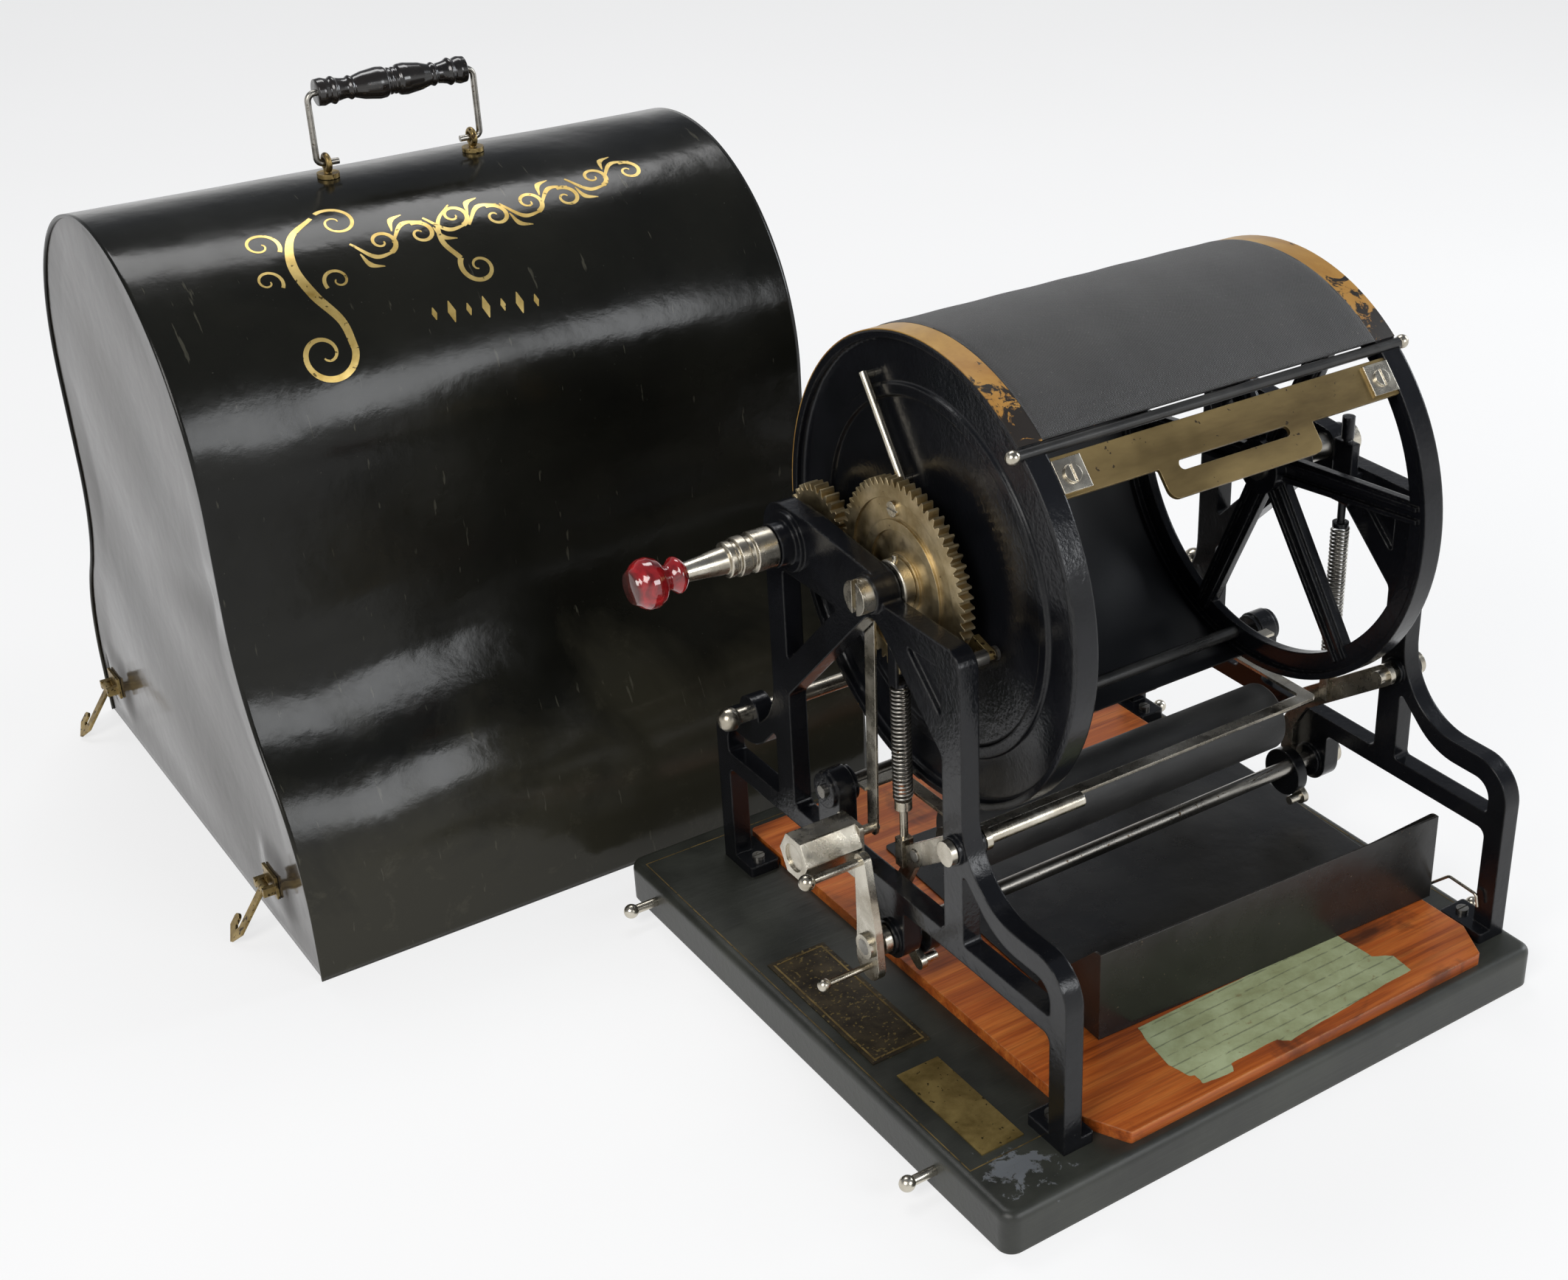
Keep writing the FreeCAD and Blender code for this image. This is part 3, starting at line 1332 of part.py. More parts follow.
def hood():
    """The lift-off cover: one bent sheet with a panel at each end."""
    sheet = v.hood_sheet
    outer_left, outer, outer_right = hood_section(0)
    inner_left, inner, inner_right = hood_section(sheet)
    place = Vector(v.hood_shift - v.board_width / 2, HOOD_Y, 0)
    barrel = new_body("hood_barrel")
    feet = [Part.LineSegment(outer_left, inner_left), Part.LineSegment(outer_right, inner_right)]
    pad(barrel, "YZ_Plane", [outer, inner, feet], "sizes.board_width")
    barrel.Placement = Placement(place, Rotation())
    keep(barrel)
    for side, x in (("left", place.x), ("right", place.x + v.board_width - sheet)):
        panel = new_body(f"hood_end_{side}")
        foot = [Part.LineSegment(inner_left, inner_right)]
        pad(panel, "YZ_Plane", [inner, foot], "sizes.hood_sheet")
        panel.Placement = Placement(Vector(x, HOOD_Y, 0), Rotation())
        keep(panel)


def handle():
    """Two eyes on the ridge, the bail that swings in them, and its turned grip."""
    centre = v.hood_shift
    reach = v.board_depth / 2 - v.hood_inset
    top = v.hood_shoulder + reach
    eyes = []
    for x in (centre - v.handle_span / 2, centre + v.handle_span / 2):
        base = rod(7, 4, Vector(x, HOOD_Y, top - 1.2), Z_AXIS)
        crown = rod(reach, 20, Vector(x - 10, HOOD_Y, v.hood_shoulder))
        seat = without("Seat", base, crown)
        stem = rod(2.5, 5, Vector(x, HOOD_Y, top + 1), Z_AXIS)
        ring = document.addObject("Part::Torus", "Ring")
        ring.Radius1 = v.handle_wire + 2.4
        ring.Radius2 = 2
        ring.Placement = Placement(Vector(x, HOOD_Y, EYE_Z), Rotation(Z_AXIS, X_AXIS))
        eyes.append(fused("Eye", [seat, stem, ring]))
    keep(grouped("handle_eyes", eyes))
    half = v.handle_span / 2
    rise = EYE_Z + v.handle_rise - 6
    leg = half + v.handle_bow
    route = [(half - 8, EYE_Z), (leg, EYE_Z), (leg, rise), (-leg, rise), (-leg, EYE_Z),
             (8 - half, EYE_Z)]
    points = [Vector(centre + x, HOOD_Y, z) for x, z in route]
    keep(shaped("bail_wire", bent_wire(points, [4, 5, 5, 4], v.handle_wire)))
    grip = v.handle_grip
    bore = v.handle_wire + v.running_fit
    corners = [(-half, bore), (-half, grip * 0.55, 1), (-half * 0.8, grip * 0.8, 6),
               (-half * 0.35, grip, 30), (half * 0.35, grip, 30), (half * 0.8, grip * 0.8, 6),
               (half, grip * 0.55, 1), (half, bore)]
    keep(turned("bail_grip", corners, centre, HOOD_Y, rise))


def hood_hooks():
    """Hinge plates on the end panels and the hooks that hang from them."""
    plates = []
    height = v.hook_height
    for side, panel in ((-1, v.hood_shift - v.board_width / 2),
                        (1, v.hood_shift + v.board_width / 2)):
        for name, distance in (("front", v.catch_front), ("rear", v.catch_rear)):
            y = back(v.hood_back) + distance
            axis_x = panel + side * HOOK_AXIS_OUT
            plates.append(hinge_plate(side, panel, y, height))
            hook = hook_body(side)
            hook.Placement = Placement(Vector(axis_x, y, height),
                                       Rotation(Y_AXIS, -side * v.hook_out))
            keep(hook, f"hook_{'left' if side < 0 else 'right'}_{name}")
    keep(grouped("hook_plates", plates))


def hinge_plate(side, panel, y, z):
    wide = 22
    thick = 2
    base = box((thick, wide, 16), Vector(panel if side > 0 else panel - thick, y - wide / 2, z - 6))
    pieces = [base]
    out = HOOK_AXIS_OUT + 3
    for ear_y in (y - 9, y + 5.5):
        corner = Vector(panel if side > 0 else panel - out, ear_y, z - 3)
        pieces.append(box((out, 3.5, 6), corner))
    pin = rod(1.5, 18, Vector(panel + side * HOOK_AXIS_OUT, y - 9, z), Y_AXIS)
    return fused("Hinge", pieces + [pin])


def hook_body(side):
    """A flat J-shaped hook on a knuckle; its own axis is the hinge pin's."""
    low = -v.hook_length
    line = strip([(0, -2), (0, low + 9), (5, low + 3), (11, low + 8), (11, low + 13)], 6)
    blade = document.addObject("PartDesign::Body", "Hook")
    pad(blade, "YZ_Plane", [line], 2.0, -1.0)
    knuckle = rod(3.2, 10, Vector(0, -5, 0), Y_AXIS)
    whole = fused("Hook", [blade, knuckle])
    bore = rod(1.5 + v.running_fit, 12, Vector(0, -6, 0), Y_AXIS)
    return without("Hook", whole, bore)


# Build, check and write

def build_all():
    base_board()
    mat_board()
    frames()
    frame_screws()
    catch_pins()
    cross_rod()
    hub_nuts()
    drum_disc()
    drum_wheel()
    drum_shaft()
    drum_sheets()
    drum_gear()
    gear_collar()
    drum_stays()
    disc_rod()
    clamp_bar()
    clamp_fittings()
    clamp_rod()
    crank_pieces()
    carrier()
    roller()
    springs()
    trip()
    counter()
    pawl()
    feed()
    guide_frame()
    tray()
    hood()
    handle()
    hood_hooks()


build_all()
document.recompute()

faults = [f"{item.Label}: {item.State}" for item in document.Objects
          if "Invalid" in item.State or "Error" in item.State]
for piece in PARTS:
    if piece.Shape.isNull() or not piece.Shape.isValid():
        faults.append(f"{piece.Label}: bad shape")
    if piece.Shape.Volume <= 0:
        faults.append(f"{piece.Label}: no volume")
labels = [piece.Label for piece in PARTS]
if len(set(labels)) != len(labels):
    faults.append("two sub-parts share a label")
if faults:
    raise SystemExit("\n".join(faults))

os.makedirs("parts", exist_ok=True)
for piece in PARTS:
    piece.Shape.exportStep(f"parts/{piece.Label}.step")
print(f"{len(PARTS)} sub-parts written")
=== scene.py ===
import math

import bmesh
import bpy
import numpy as np
from mathutils import Matrix, Vector


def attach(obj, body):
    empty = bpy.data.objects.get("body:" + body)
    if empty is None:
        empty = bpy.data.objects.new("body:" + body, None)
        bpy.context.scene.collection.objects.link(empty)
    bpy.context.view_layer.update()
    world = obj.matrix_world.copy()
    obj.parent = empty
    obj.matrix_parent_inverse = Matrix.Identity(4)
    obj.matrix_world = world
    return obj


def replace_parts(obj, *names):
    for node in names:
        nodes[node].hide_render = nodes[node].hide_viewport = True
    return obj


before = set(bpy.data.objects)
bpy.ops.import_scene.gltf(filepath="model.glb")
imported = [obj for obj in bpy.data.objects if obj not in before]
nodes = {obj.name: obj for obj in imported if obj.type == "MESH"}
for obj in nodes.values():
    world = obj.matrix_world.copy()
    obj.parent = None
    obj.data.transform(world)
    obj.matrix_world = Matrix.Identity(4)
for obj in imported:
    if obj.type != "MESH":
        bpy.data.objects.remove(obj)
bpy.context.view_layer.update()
drumY, drumZ = -0.012, 0.299
print("duplicator: frame loaded,", len(nodes), "nodes")


# Node helpers

def newFinish(name):
    finish = bpy.data.materials.new(name)
    finish.use_nodes = True
    tree = finish.node_tree
    return finish, tree, tree.nodes["Principled BSDF"]


def addNode(tree, kind, settings=None, **inputs):
    node = tree.nodes.new(kind)
    for key, value in (settings or {}).items():
        setattr(node, key, value)
    for key, value in inputs.items():
        socket = node.inputs[int(key[1:]) if key[1:].isdigit() else key]
        if isinstance(value, bpy.types.NodeSocket):
            tree.links.new(value, socket)
        else:
            socket.default_value = value
    return node


def placed(tree, stretch=(1, 1, 1), turn=(0, 0, 0)):
    # object coordinates in metres, stretched for grain
    where = addNode(tree, "ShaderNodeTexCoord")
    mapping = addNode(tree, "ShaderNodeMapping", Vector=where.outputs["Object"])
    mapping.inputs["Scale"].default_value = stretch
    mapping.inputs["Rotation"].default_value = turn
    return mapping.outputs[0]


def noise(tree, where, scale, detail=4, rough=0.55, twist=0.0):
    return addNode(tree, "ShaderNodeTexNoise", Vector=where, Scale=scale, Detail=detail,
                   Roughness=rough, Distortion=twist).outputs["Fac"]


def ramp(tree, value, stops):
    node = addNode(tree, "ShaderNodeValToRGB", Fac=value)
    band = node.color_ramp
    while len(band.elements) < len(stops):
        band.elements.new(0.5)
    for element, (place, colour) in zip(band.elements, stops):
        element.position = place
        element.color = (*colour, 1) if len(colour) == 3 else colour
    return node.outputs["Color"]


def grey(tree, value, low, high, first=0.0, last=1.0):
    # a number that runs from low to high as the value runs from first to last
    node = addNode(tree, "ShaderNodeMapRange", Value=value)
    for key, number in (("From Min", first), ("From Max", last), ("To Min", low), ("To Max", high)):
        node.inputs[key].default_value = number
    return node.outputs[0]


def blendColour(tree, share, one, two):
    node = addNode(tree, "ShaderNodeMix", {"data_type": "RGBA"})
    for socket, value in ((node.inputs[0], share), (node.inputs[6], one), (node.inputs[7], two)):
        if isinstance(value, bpy.types.NodeSocket):
            tree.links.new(value, socket)
        else:
            socket.default_value = (*value, 1) if isinstance(value, tuple) else value
    return node.outputs[2]


def arithmetic(tree, operation, one, two=0.0):
    node = addNode(tree, "ShaderNodeMath", {"operation": operation})
    for socket, value in zip(node.inputs, (one, two)):
        if isinstance(value, bpy.types.NodeSocket):
            tree.links.new(value, socket)
        else:
            socket.default_value = value
    return node.outputs[0]


def bumped(tree, height, depth, under=None):
    node = addNode(tree, "ShaderNodeBump", Height=height, Strength=1.0, Distance=depth)
    if under is not None:
        tree.links.new(under, node.inputs["Normal"])
    return node.outputs["Normal"]


def edgeShare(tree, radius, where):
    # 1 along worn edges, 0 on flat faces, broken up with noise
    rounded = addNode(tree, "ShaderNodeBevel", {"samples": 4}, Radius=radius)
    flat = addNode(tree, "ShaderNodeNewGeometry")
    dot = addNode(tree, "ShaderNodeVectorMath", {"operation": "DOT_PRODUCT"},
                  _0=rounded.outputs[0], _1=flat.outputs["Normal"])
    sharp = grey(tree, dot.outputs["Value"], 1.0, 0.0, 0.86, 0.985)
    ragged = grey(tree, noise(tree, where, 260, 5, 0.7), 0.0, 1.0, 0.42, 0.6)
    return arithmetic(tree, "MULTIPLY", sharp, ragged), rounded.outputs[0]


def surface(name, spec):
    # one finish: two mottled colours, gloss that varies, fine bump, worn edges and specks
    finish, tree, shader = newFinish(name)
    where = placed(tree, spec.get("stretch", (1, 1, 1)))
    plain = placed(tree)
    patch = noise(tree, where, spec.get("patch", 30), 5, 0.6, 0.2)
    colour = ramp(tree, patch, [(0.32, spec["dark"]), (0.66, spec["light"])])
    if "specks" in spec:
        size, limit, tint = spec["specks"]
        dots = grey(tree, noise(tree, plain, size, 2, 0.5), 0.0, 1.0, limit, limit + 0.04)
        colour = blendColour(tree, dots, colour, tint)
    rough = grey(tree, noise(tree, plain, spec.get("smudge", 18), 6, 0.65), *spec["gloss"], 0.3, 0.7)
    normal = None
    if "edge" in spec:
        radius, tint, amount = spec["edge"]
        worn, normal = edgeShare(tree, radius, plain)
        share = arithmetic(tree, "MULTIPLY", worn, amount)
        colour = blendColour(tree, share, colour, tint)
    for size, depth in spec.get("bumps", ()):
        normal = bumped(tree, noise(tree, where, size, 4, 0.6), depth, normal)
    tree.links.new(colour, shader.inputs["Base Color"])
    tree.links.new(rough, shader.inputs["Roughness"])
    if normal is not None:
        tree.links.new(normal, shader.inputs["Normal"])
    shader.inputs["Metallic"].default_value = spec.get("metal", 0.0)
    shader.inputs["Coat Weight"].default_value = spec.get("coat", 0.0)
    shader.inputs["Coat Roughness"].default_value = 0.08
    shader.inputs["Specular IOR Level"].default_value = spec.get("shine", 0.5)
    return finish


finishSizes = {
    "enamel": {"dark": (0.0030, 0.0033, 0.0042), "light": (0.0075, 0.008, 0.010), "patch": 14,
               "gloss": (0.11, 0.24), "bumps": ((420, 0.00012), (60, 0.0003)),
               "edge": (0.0016, (0.09, 0.085, 0.075), 0.25),
               "specks": (900, 0.74, (0.05, 0.05, 0.045)), "shine": 0.32},
    "hoodEnamel": {"dark": (0.0035, 0.0036, 0.0028), "light": (0.010, 0.0098, 0.0072), "patch": 6,
                   "gloss": (0.09, 0.26), "smudge": 9, "bumps": ((9, 0.0012), (300, 0.00006)),
                   "specks": (700, 0.745, (0.05, 0.05, 0.04)), "shine": 0.24},
    "nickel": {"dark": (0.36, 0.32, 0.25), "light": (0.64, 0.60, 0.51), "patch": 40,
               "gloss": (0.16, 0.38), "smudge": 90, "metal": 1.0, "bumps": ((900, 0.00004),),
               "specks": (420, 0.78, (0.22, 0.18, 0.12)), "edge": (0.0006, (0.7, 0.66, 0.58), 0.12)},
    "gearSteel": {"dark": (0.34, 0.255, 0.125), "light": (0.68, 0.56, 0.35), "patch": 50,
                  "gloss": (0.30, 0.5), "smudge": 120, "metal": 1.0, "bumps": ((700, 0.00006),),
                  "specks": (330, 0.73, (0.12, 0.085, 0.045)), "edge": (0.0005, (0.72, 0.64, 0.46), 0.5)},
    "steel": {"dark": (0.20, 0.19, 0.17), "light": (0.42, 0.40, 0.36), "patch": 80,
              "stretch": (0.2, 1, 1), "gloss": (0.22, 0.42), "metal": 1.0, "bumps": ((800, 0.00005),),
              "specks": (500, 0.66, (0.10, 0.07, 0.045))},
    "blackSteel": {"dark": (0.006, 0.006, 0.006), "light": (0.025, 0.024, 0.022), "patch": 50,
                   "gloss": (0.22, 0.42), "bumps": ((500, 0.0001),),
                   "edge": (0.0008, (0.16, 0.14, 0.11), 0.6)},
    "bronze": {"dark": (0.115, 0.078, 0.03), "light": (0.28, 0.20, 0.082), "patch": 28,
               "stretch": (0.3, 1, 1), "gloss": (0.32, 0.52), "metal": 0.85, "bumps": ((500, 0.00006),),
               "specks": (260, 0.69, (0.045, 0.032, 0.018)), "edge": (0.0006, (0.5, 0.40, 0.22), 0.6)},
    "agedBrass": {"dark": (0.13, 0.085, 0.03), "light": (0.42, 0.31, 0.13), "patch": 90,
                  "gloss": (0.30, 0.5), "metal": 0.95, "bumps": ((700, 0.00008),),
                  "specks": (300, 0.60, (0.05, 0.032, 0.015)), "edge": (0.0005, (0.6, 0.5, 0.28), 0.5)},
    "rubber": {"dark": (0.010, 0.010, 0.010), "light": (0.032, 0.031, 0.029), "patch": 40,
               "stretch": (0.4, 1, 1), "gloss": (0.42, 0.62), "bumps": ((900, 0.00008), (90, 0.0002)),
               "specks": (600, 0.72, (0.09, 0.085, 0.075))},
    "brownRubber": {"dark": (0.055, 0.024, 0.012), "light": (0.14, 0.062, 0.03), "patch": 70,
                    "gloss": (0.5, 0.7), "bumps": ((600, 0.0002),)},
    "tin": {"dark": (0.006, 0.006, 0.006), "light": (0.020, 0.019, 0.017), "patch": 12,
            "gloss": (0.18, 0.38), "smudge": 14, "bumps": ((14, 0.0010), (500, 0.00005)),
            "specks": (520, 0.715, (0.09, 0.07, 0.045)), "edge": (0.0008, (0.14, 0.11, 0.08), 0.5)},
    "turnedWood": {"dark": (0.004, 0.0035, 0.003), "light": (0.014, 0.011, 0.009), "patch": 60,
                   "stretch": (0.15, 1, 1), "gloss": (0.12, 0.28), "bumps": ((300, 0.0001),),
                   "coat": 0.4, "specks": (500, 0.70, (0.07, 0.05, 0.035))},
}
finishes = {name: surface(name, spec) for name, spec in finishSizes.items() if name != "hoodEnamel"}


def hoodPaint():
    # black enamel with a painted reflection of the floor: olive towards the foot of the sheet, with paler
    # blotches there
    finish = surface("hoodEnamel", finishSizes["hoodEnamel"])
    tree = finish.node_tree
    shader = tree.nodes["Principled BSDF"]
    plain = placed(tree)
    base = shader.inputs["Base Color"].links[0].from_socket
    height = addNode(tree, "ShaderNodeSeparateXYZ", Vector=plain).outputs["Z"]
    cloud = noise(tree, plain, 13, 5, 0.6, 0.5)
    # share of the painted floor reflection: 1 at the sheet's foot, fading out upwards with a cloudy edge
    low = grey(tree, arithmetic(tree, "ADD", height, grey(tree, cloud, -0.05, 0.05, 0.3, 0.7)),
               1.0, 0.0, 0.055, 0.16)
    colour = blendColour(tree, arithmetic(tree, "MULTIPLY", low, 0.9), base, (0.030, 0.028, 0.019))
    # paler blotches, only inside the painted floor reflection
    paleBlotches = grey(tree, noise(tree, plain, 38, 7, 0.75, 0.4), 0.0, 0.5, 0.56, 0.7)
    colour = blendColour(tree, arithmetic(tree, "MULTIPLY", paleBlotches, low), colour, (0.065, 0.060, 0.042))
    scratch = grey(tree, noise(tree, placed(tree, (30, 3, 5), (0.3, 0, 0.4)), 9, 3, 0.5),
                   0.0, 0.35, 0.70, 0.73)
    colour = blendColour(tree, scratch, colour, (0.10, 0.095, 0.07))
    tree.links.new(colour, shader.inputs["Base Color"])
    return finish


def stainedWood():
    # orange shellac over straight grain along X, with dark ink stains and a worn front edge
    finish, tree, shader = newFinish("stainedWood")
    grainPlace = placed(tree, (1.2, 22, 22))
    plain = placed(tree)
    grain = noise(tree, grainPlace, 5, 8, 0.65, 0.6)
    fine = noise(tree, placed(tree, (6, 260, 260)), 3, 3, 0.6)
    colour = ramp(tree, grain, [(0.28, (0.16, 0.028, 0.004)), (0.48, (0.42, 0.092, 0.012)),
                                (0.70, (0.62, 0.19, 0.032))])
    colour = blendColour(tree, grey(tree, fine, 0.0, 0.45, 0.45, 0.75), colour, (0.07, 0.016, 0.006))
    stain = grey(tree, noise(tree, plain, 11, 6, 0.6, 0.8), 0.0, 0.85, 0.55, 0.66)
    colour = blendColour(tree, stain, colour, (0.022, 0.008, 0.004))
    bright = grey(tree, noise(tree, plain, 6, 3, 0.5), 0.0, 0.5, 0.55, 0.75)
    colour = blendColour(tree, bright, colour, (0.64, 0.18, 0.032))
    worn, normal = edgeShare(tree, 0.0012, plain)
    colour = blendColour(tree, arithmetic(tree, "MULTIPLY", worn, 0.6), colour, (0.55, 0.30, 0.13))
    normal = bumped(tree, grain, 0.00025, normal)
    tree.links.new(colour, shader.inputs["Base Color"])
    tree.links.new(normal, shader.inputs["Normal"])
    tree.links.new(grey(tree, grain, 0.30, 0.5), shader.inputs["Roughness"])
    shader.inputs["Coat Weight"].default_value = 0.15
    shader.inputs["Coat Roughness"].default_value = 0.2
    return finish


def boardPaint():
    # black paint on wood: dust, rubbed edges, and a chipped corner that shows the pale ground
    finish, tree, shader = newFinish("boardPaint")
    plain = placed(tree)
    grain = noise(tree, placed(tree, (2, 40, 40)), 6, 6, 0.6)
    patch = noise(tree, plain, 16, 6, 0.65)
    colour = ramp(tree, patch, [(0.3, (0.009, 0.0098, 0.0078)), (0.7, (0.034, 0.036, 0.028))])
    scratch = grey(tree, noise(tree, placed(tree, (5, 150, 20), (0, 0, 0.5)), 4, 4, 0.6),
                   0.0, 0.5, 0.68, 0.74)
    colour = blendColour(tree, scratch, colour, (0.07, 0.068, 0.06))
    worn, normal = edgeShare(tree, 0.003, plain)
    colour = blendColour(tree, arithmetic(tree, "MULTIPLY", worn, 0.35), colour, (0.12, 0.10, 0.08))
    corner = addNode(tree, "ShaderNodeVectorMath", {"operation": "DISTANCE"}, _0=plain,
                     _1=(-0.172, -0.181, 0.027))
    ragged = noise(tree, plain, 75, 6, 0.7, 0.5)
    reach = arithmetic(tree, "ADD", corner.outputs["Value"],
                       grey(tree, ragged, -0.022, 0.022, 0.3, 0.7))
    chip = grey(tree, reach, 1.0, 0.0, 0.009, 0.0115)
    colour = blendColour(tree, chip, colour, (0.062, 0.070, 0.078))
    scuff = grey(tree, reach, 0.4, 0.0, 0.0115, 0.014)
    colour = blendColour(tree, scuff, colour, (0.19, 0.20, 0.21))
    normal = bumped(tree, grain, 0.00018, normal)
    normal = bumped(tree, chip, -0.0002, normal)
    tree.links.new(colour, shader.inputs["Base Color"])
    tree.links.new(normal, shader.inputs["Normal"])
    tree.links.new(grey(tree, patch, 0.28, 0.5), shader.inputs["Roughness"])
    return finish


def inkedCloth():
    # fine black weave on a cylinder along X: threads along X and round the drum
    finish, tree, shader = newFinish("inkedCloth")
    uv = addNode(tree, "ShaderNodeUVMap", {"uv_map": "wrap"}).outputs[0]
    split = addNode(tree, "ShaderNodeSeparateXYZ", Vector=uv)
    warp = arithmetic(tree, "SINE", arithmetic(tree, "MULTIPLY", split.outputs["X"], 6283 * 0.9))
    weft = arithmetic(tree, "SINE", arithmetic(tree, "MULTIPLY", split.outputs["Y"], 6283 * 0.9))
    weave = arithmetic(tree, "MULTIPLY", warp, weft)
    plain = placed(tree)
    patch = noise(tree, placed(tree, (0.35, 1, 1)), 24, 7, 0.65, 0.4)
    colour = ramp(tree, patch, [(0.3, (0.006, 0.0055, 0.005)), (0.72, (0.024, 0.0225, 0.021))])
    lint = grey(tree, noise(tree, plain, 800, 2, 0.5), 0.0, 0.7, 0.69, 0.73)
    colour = blendColour(tree, lint, colour, (0.12, 0.11, 0.095))
    colour = blendColour(tree, grey(tree, weave, 0.0, 0.35, 0.2, 1.0), colour, (0.034, 0.032, 0.029))
    normal = bumped(tree, weave, 0.00012)
    normal = bumped(tree, noise(tree, plain, 45, 4, 0.6), 0.0005, normal)
    tree.links.new(colour, shader.inputs["Base Color"])
    tree.links.new(normal, shader.inputs["Normal"])
    tree.links.new(grey(tree, patch, 0.42, 0.66), shader.inputs["Roughness"])
    shader.inputs["Sheen Weight"].default_value = 0.1
    return finish


def redLacquer():
    # deep translucent red over a turned wooden knob
    finish, tree, shader = newFinish("redLacquer")
    plain = placed(tree)
    depth = noise(tree, plain, 70, 5, 0.6, 1.0)
    colour = ramp(tree, depth, [(0.3, (0.10, 0.003, 0.004)), (0.65, (0.42, 0.010, 0.014))])
    end = addNode(tree, "ShaderNodeSeparateXYZ", Vector=plain)
    dark = grey(tree, end.outputs["X"], 0.85, 0.0, -0.2492, -0.2466)
    colour = blendColour(tree, dark, colour, (0.045, 0.018, 0.014))
    normal = bumped(tree, noise(tree, plain, 160, 3, 0.5), 0.0002)
    tree.links.new(colour, shader.inputs["Base Color"])
    tree.links.new(normal, shader.inputs["Normal"])
    tree.links.new(grey(tree, depth, 0.08, 0.2), shader.inputs["Roughness"])
    shader.inputs["Coat Weight"].default_value = 0.8
    return finish


def paperLabel():
    # pale green paper, foxed and rubbed, with faint ruled lines
    finish, tree, shader = newFinish("paperLabel")
    plain = placed(tree)
    patch = noise(tree, plain, 45, 6, 0.65, 0.3)
    colour = ramp(tree, patch, [(0.28, (0.25, 0.27, 0.13)), (0.7, (0.42, 0.47, 0.27))])
    fox = grey(tree, noise(tree, plain, 170, 4, 0.6), 0.0, 0.7, 0.63, 0.72)
    colour = blendColour(tree, fox, colour, (0.20, 0.15, 0.06))
    split = addNode(tree, "ShaderNodeSeparateXYZ", Vector=plain)
    ruled = arithmetic(tree, "SINE", arithmetic(tree, "MULTIPLY", split.outputs["Y"], 6.2832 / 0.0092))
    broken = grey(tree, noise(tree, placed(tree, (9, 60, 1)), 14, 4, 0.7), 0.0, 1.0, 0.44, 0.5)
    line = arithmetic(tree, "MULTIPLY", grey(tree, ruled, 0.0, 0.6, 0.88, 0.97), broken)
    colour = blendColour(tree, line, colour, (0.07, 0.08, 0.045))
    normal = bumped(tree, noise(tree, plain, 220, 4, 0.6), 0.0001)
    tree.links.new(colour, shader.inputs["Base Color"])
    tree.links.new(normal, shader.inputs["Normal"])
    tree.links.new(grey(tree, patch, 0.5, 0.72), shader.inputs["Roughness"])
    return finish


def ochreBand():
    # ochre paint outside, black inside, stained with ink towards the open front
    finish, tree, shader = newFinish("ochreBand")
    plain = placed(tree)
    split = addNode(tree, "ShaderNodeSeparateXYZ", Vector=plain)
    deep = arithmetic(tree, "SUBTRACT", drumY, split.outputs["Y"])
    rise = arithmetic(tree, "SUBTRACT", split.outputs["Z"], drumZ)
    turn = arithmetic(tree, "ARCTAN2", rise, deep)
    square = arithmetic(tree, "ADD", arithmetic(tree, "MULTIPLY", deep, deep),
                        arithmetic(tree, "MULTIPLY", rise, rise))
    outside = grey(tree, arithmetic(tree, "SQRT", square), 0.0, 1.0, 0.1362, 0.1366)
    patch = noise(tree, placed(tree, (1, 0.6, 0.6)), 30, 6, 0.65, 0.4)
    colour = ramp(tree, patch, [(0.3, (0.27, 0.13, 0.024)), (0.52, (0.43, 0.245, 0.055)),
                                (0.75, (0.56, 0.375, 0.13))])
    low = grey(tree, turn, 1.0, 0.0, 0.92, 1.65)
    colour = blendColour(tree, arithmetic(tree, "MULTIPLY", low, 0.6), colour, (0.33, 0.135, 0.018))
    blot = noise(tree, plain, 95, 7, 0.7, 0.6)
    limit = grey(tree, turn, 0.30, 0.0, 0.89, 1.4)
    stain = grey(tree, arithmetic(tree, "ADD", blot, limit), 0.0, 1.0, 0.66, 0.70)
    colour = blendColour(tree, stain, colour, (0.012, 0.008, 0.005))
    colour = blendColour(tree, outside, (0.006, 0.0065, 0.008), colour)
    normal = bumped(tree, noise(tree, plain, 400, 4, 0.6), 0.00006)
    tree.links.new(colour, shader.inputs["Base Color"])
    tree.links.new(normal, shader.inputs["Normal"])
    tree.links.new(grey(tree, patch, 0.3, 0.5), shader.inputs["Roughness"])
    return finish


finishes["hoodEnamel"] = hoodPaint()
finishes["ochreBand"] = ochreBand()
finishes["stainedWood"] = stainedWood()
finishes["boardPaint"] = boardPaint()
finishes["inkedCloth"] = inkedCloth()
finishes["redLacquer"] = redLacquer()
finishes["paperLabel"] = paperLabel()
finishes["goldLeaf"] = surface("goldLeaf", {
    "dark": (0.38, 0.25, 0.06), "light": (0.72, 0.54, 0.20), "patch": 45, "gloss": (0.28, 0.45),
    "metal": 0.7, "specks": (260, 0.66, (0.10, 0.07, 0.02))})
finishes["dullGold"] = surface("dullGold", {
    "dark": (0.055, 0.035, 0.010), "light": (0.22, 0.15, 0.05), "patch": 60, "gloss": (0.4, 0.6),
    "metal": 0.5, "specks": (300, 0.60, (0.03, 0.024, 0.012))})
finishes["darkPlate"] = surface("darkPlate", {
    "dark": (0.016, 0.012, 0.008), "light": (0.062, 0.046, 0.024), "patch": 70, "gloss": (0.3, 0.5),
    "metal": 0.5, "bumps": ((500, 0.0001),), "specks": (420, 0.62, (0.16, 0.115, 0.04))})
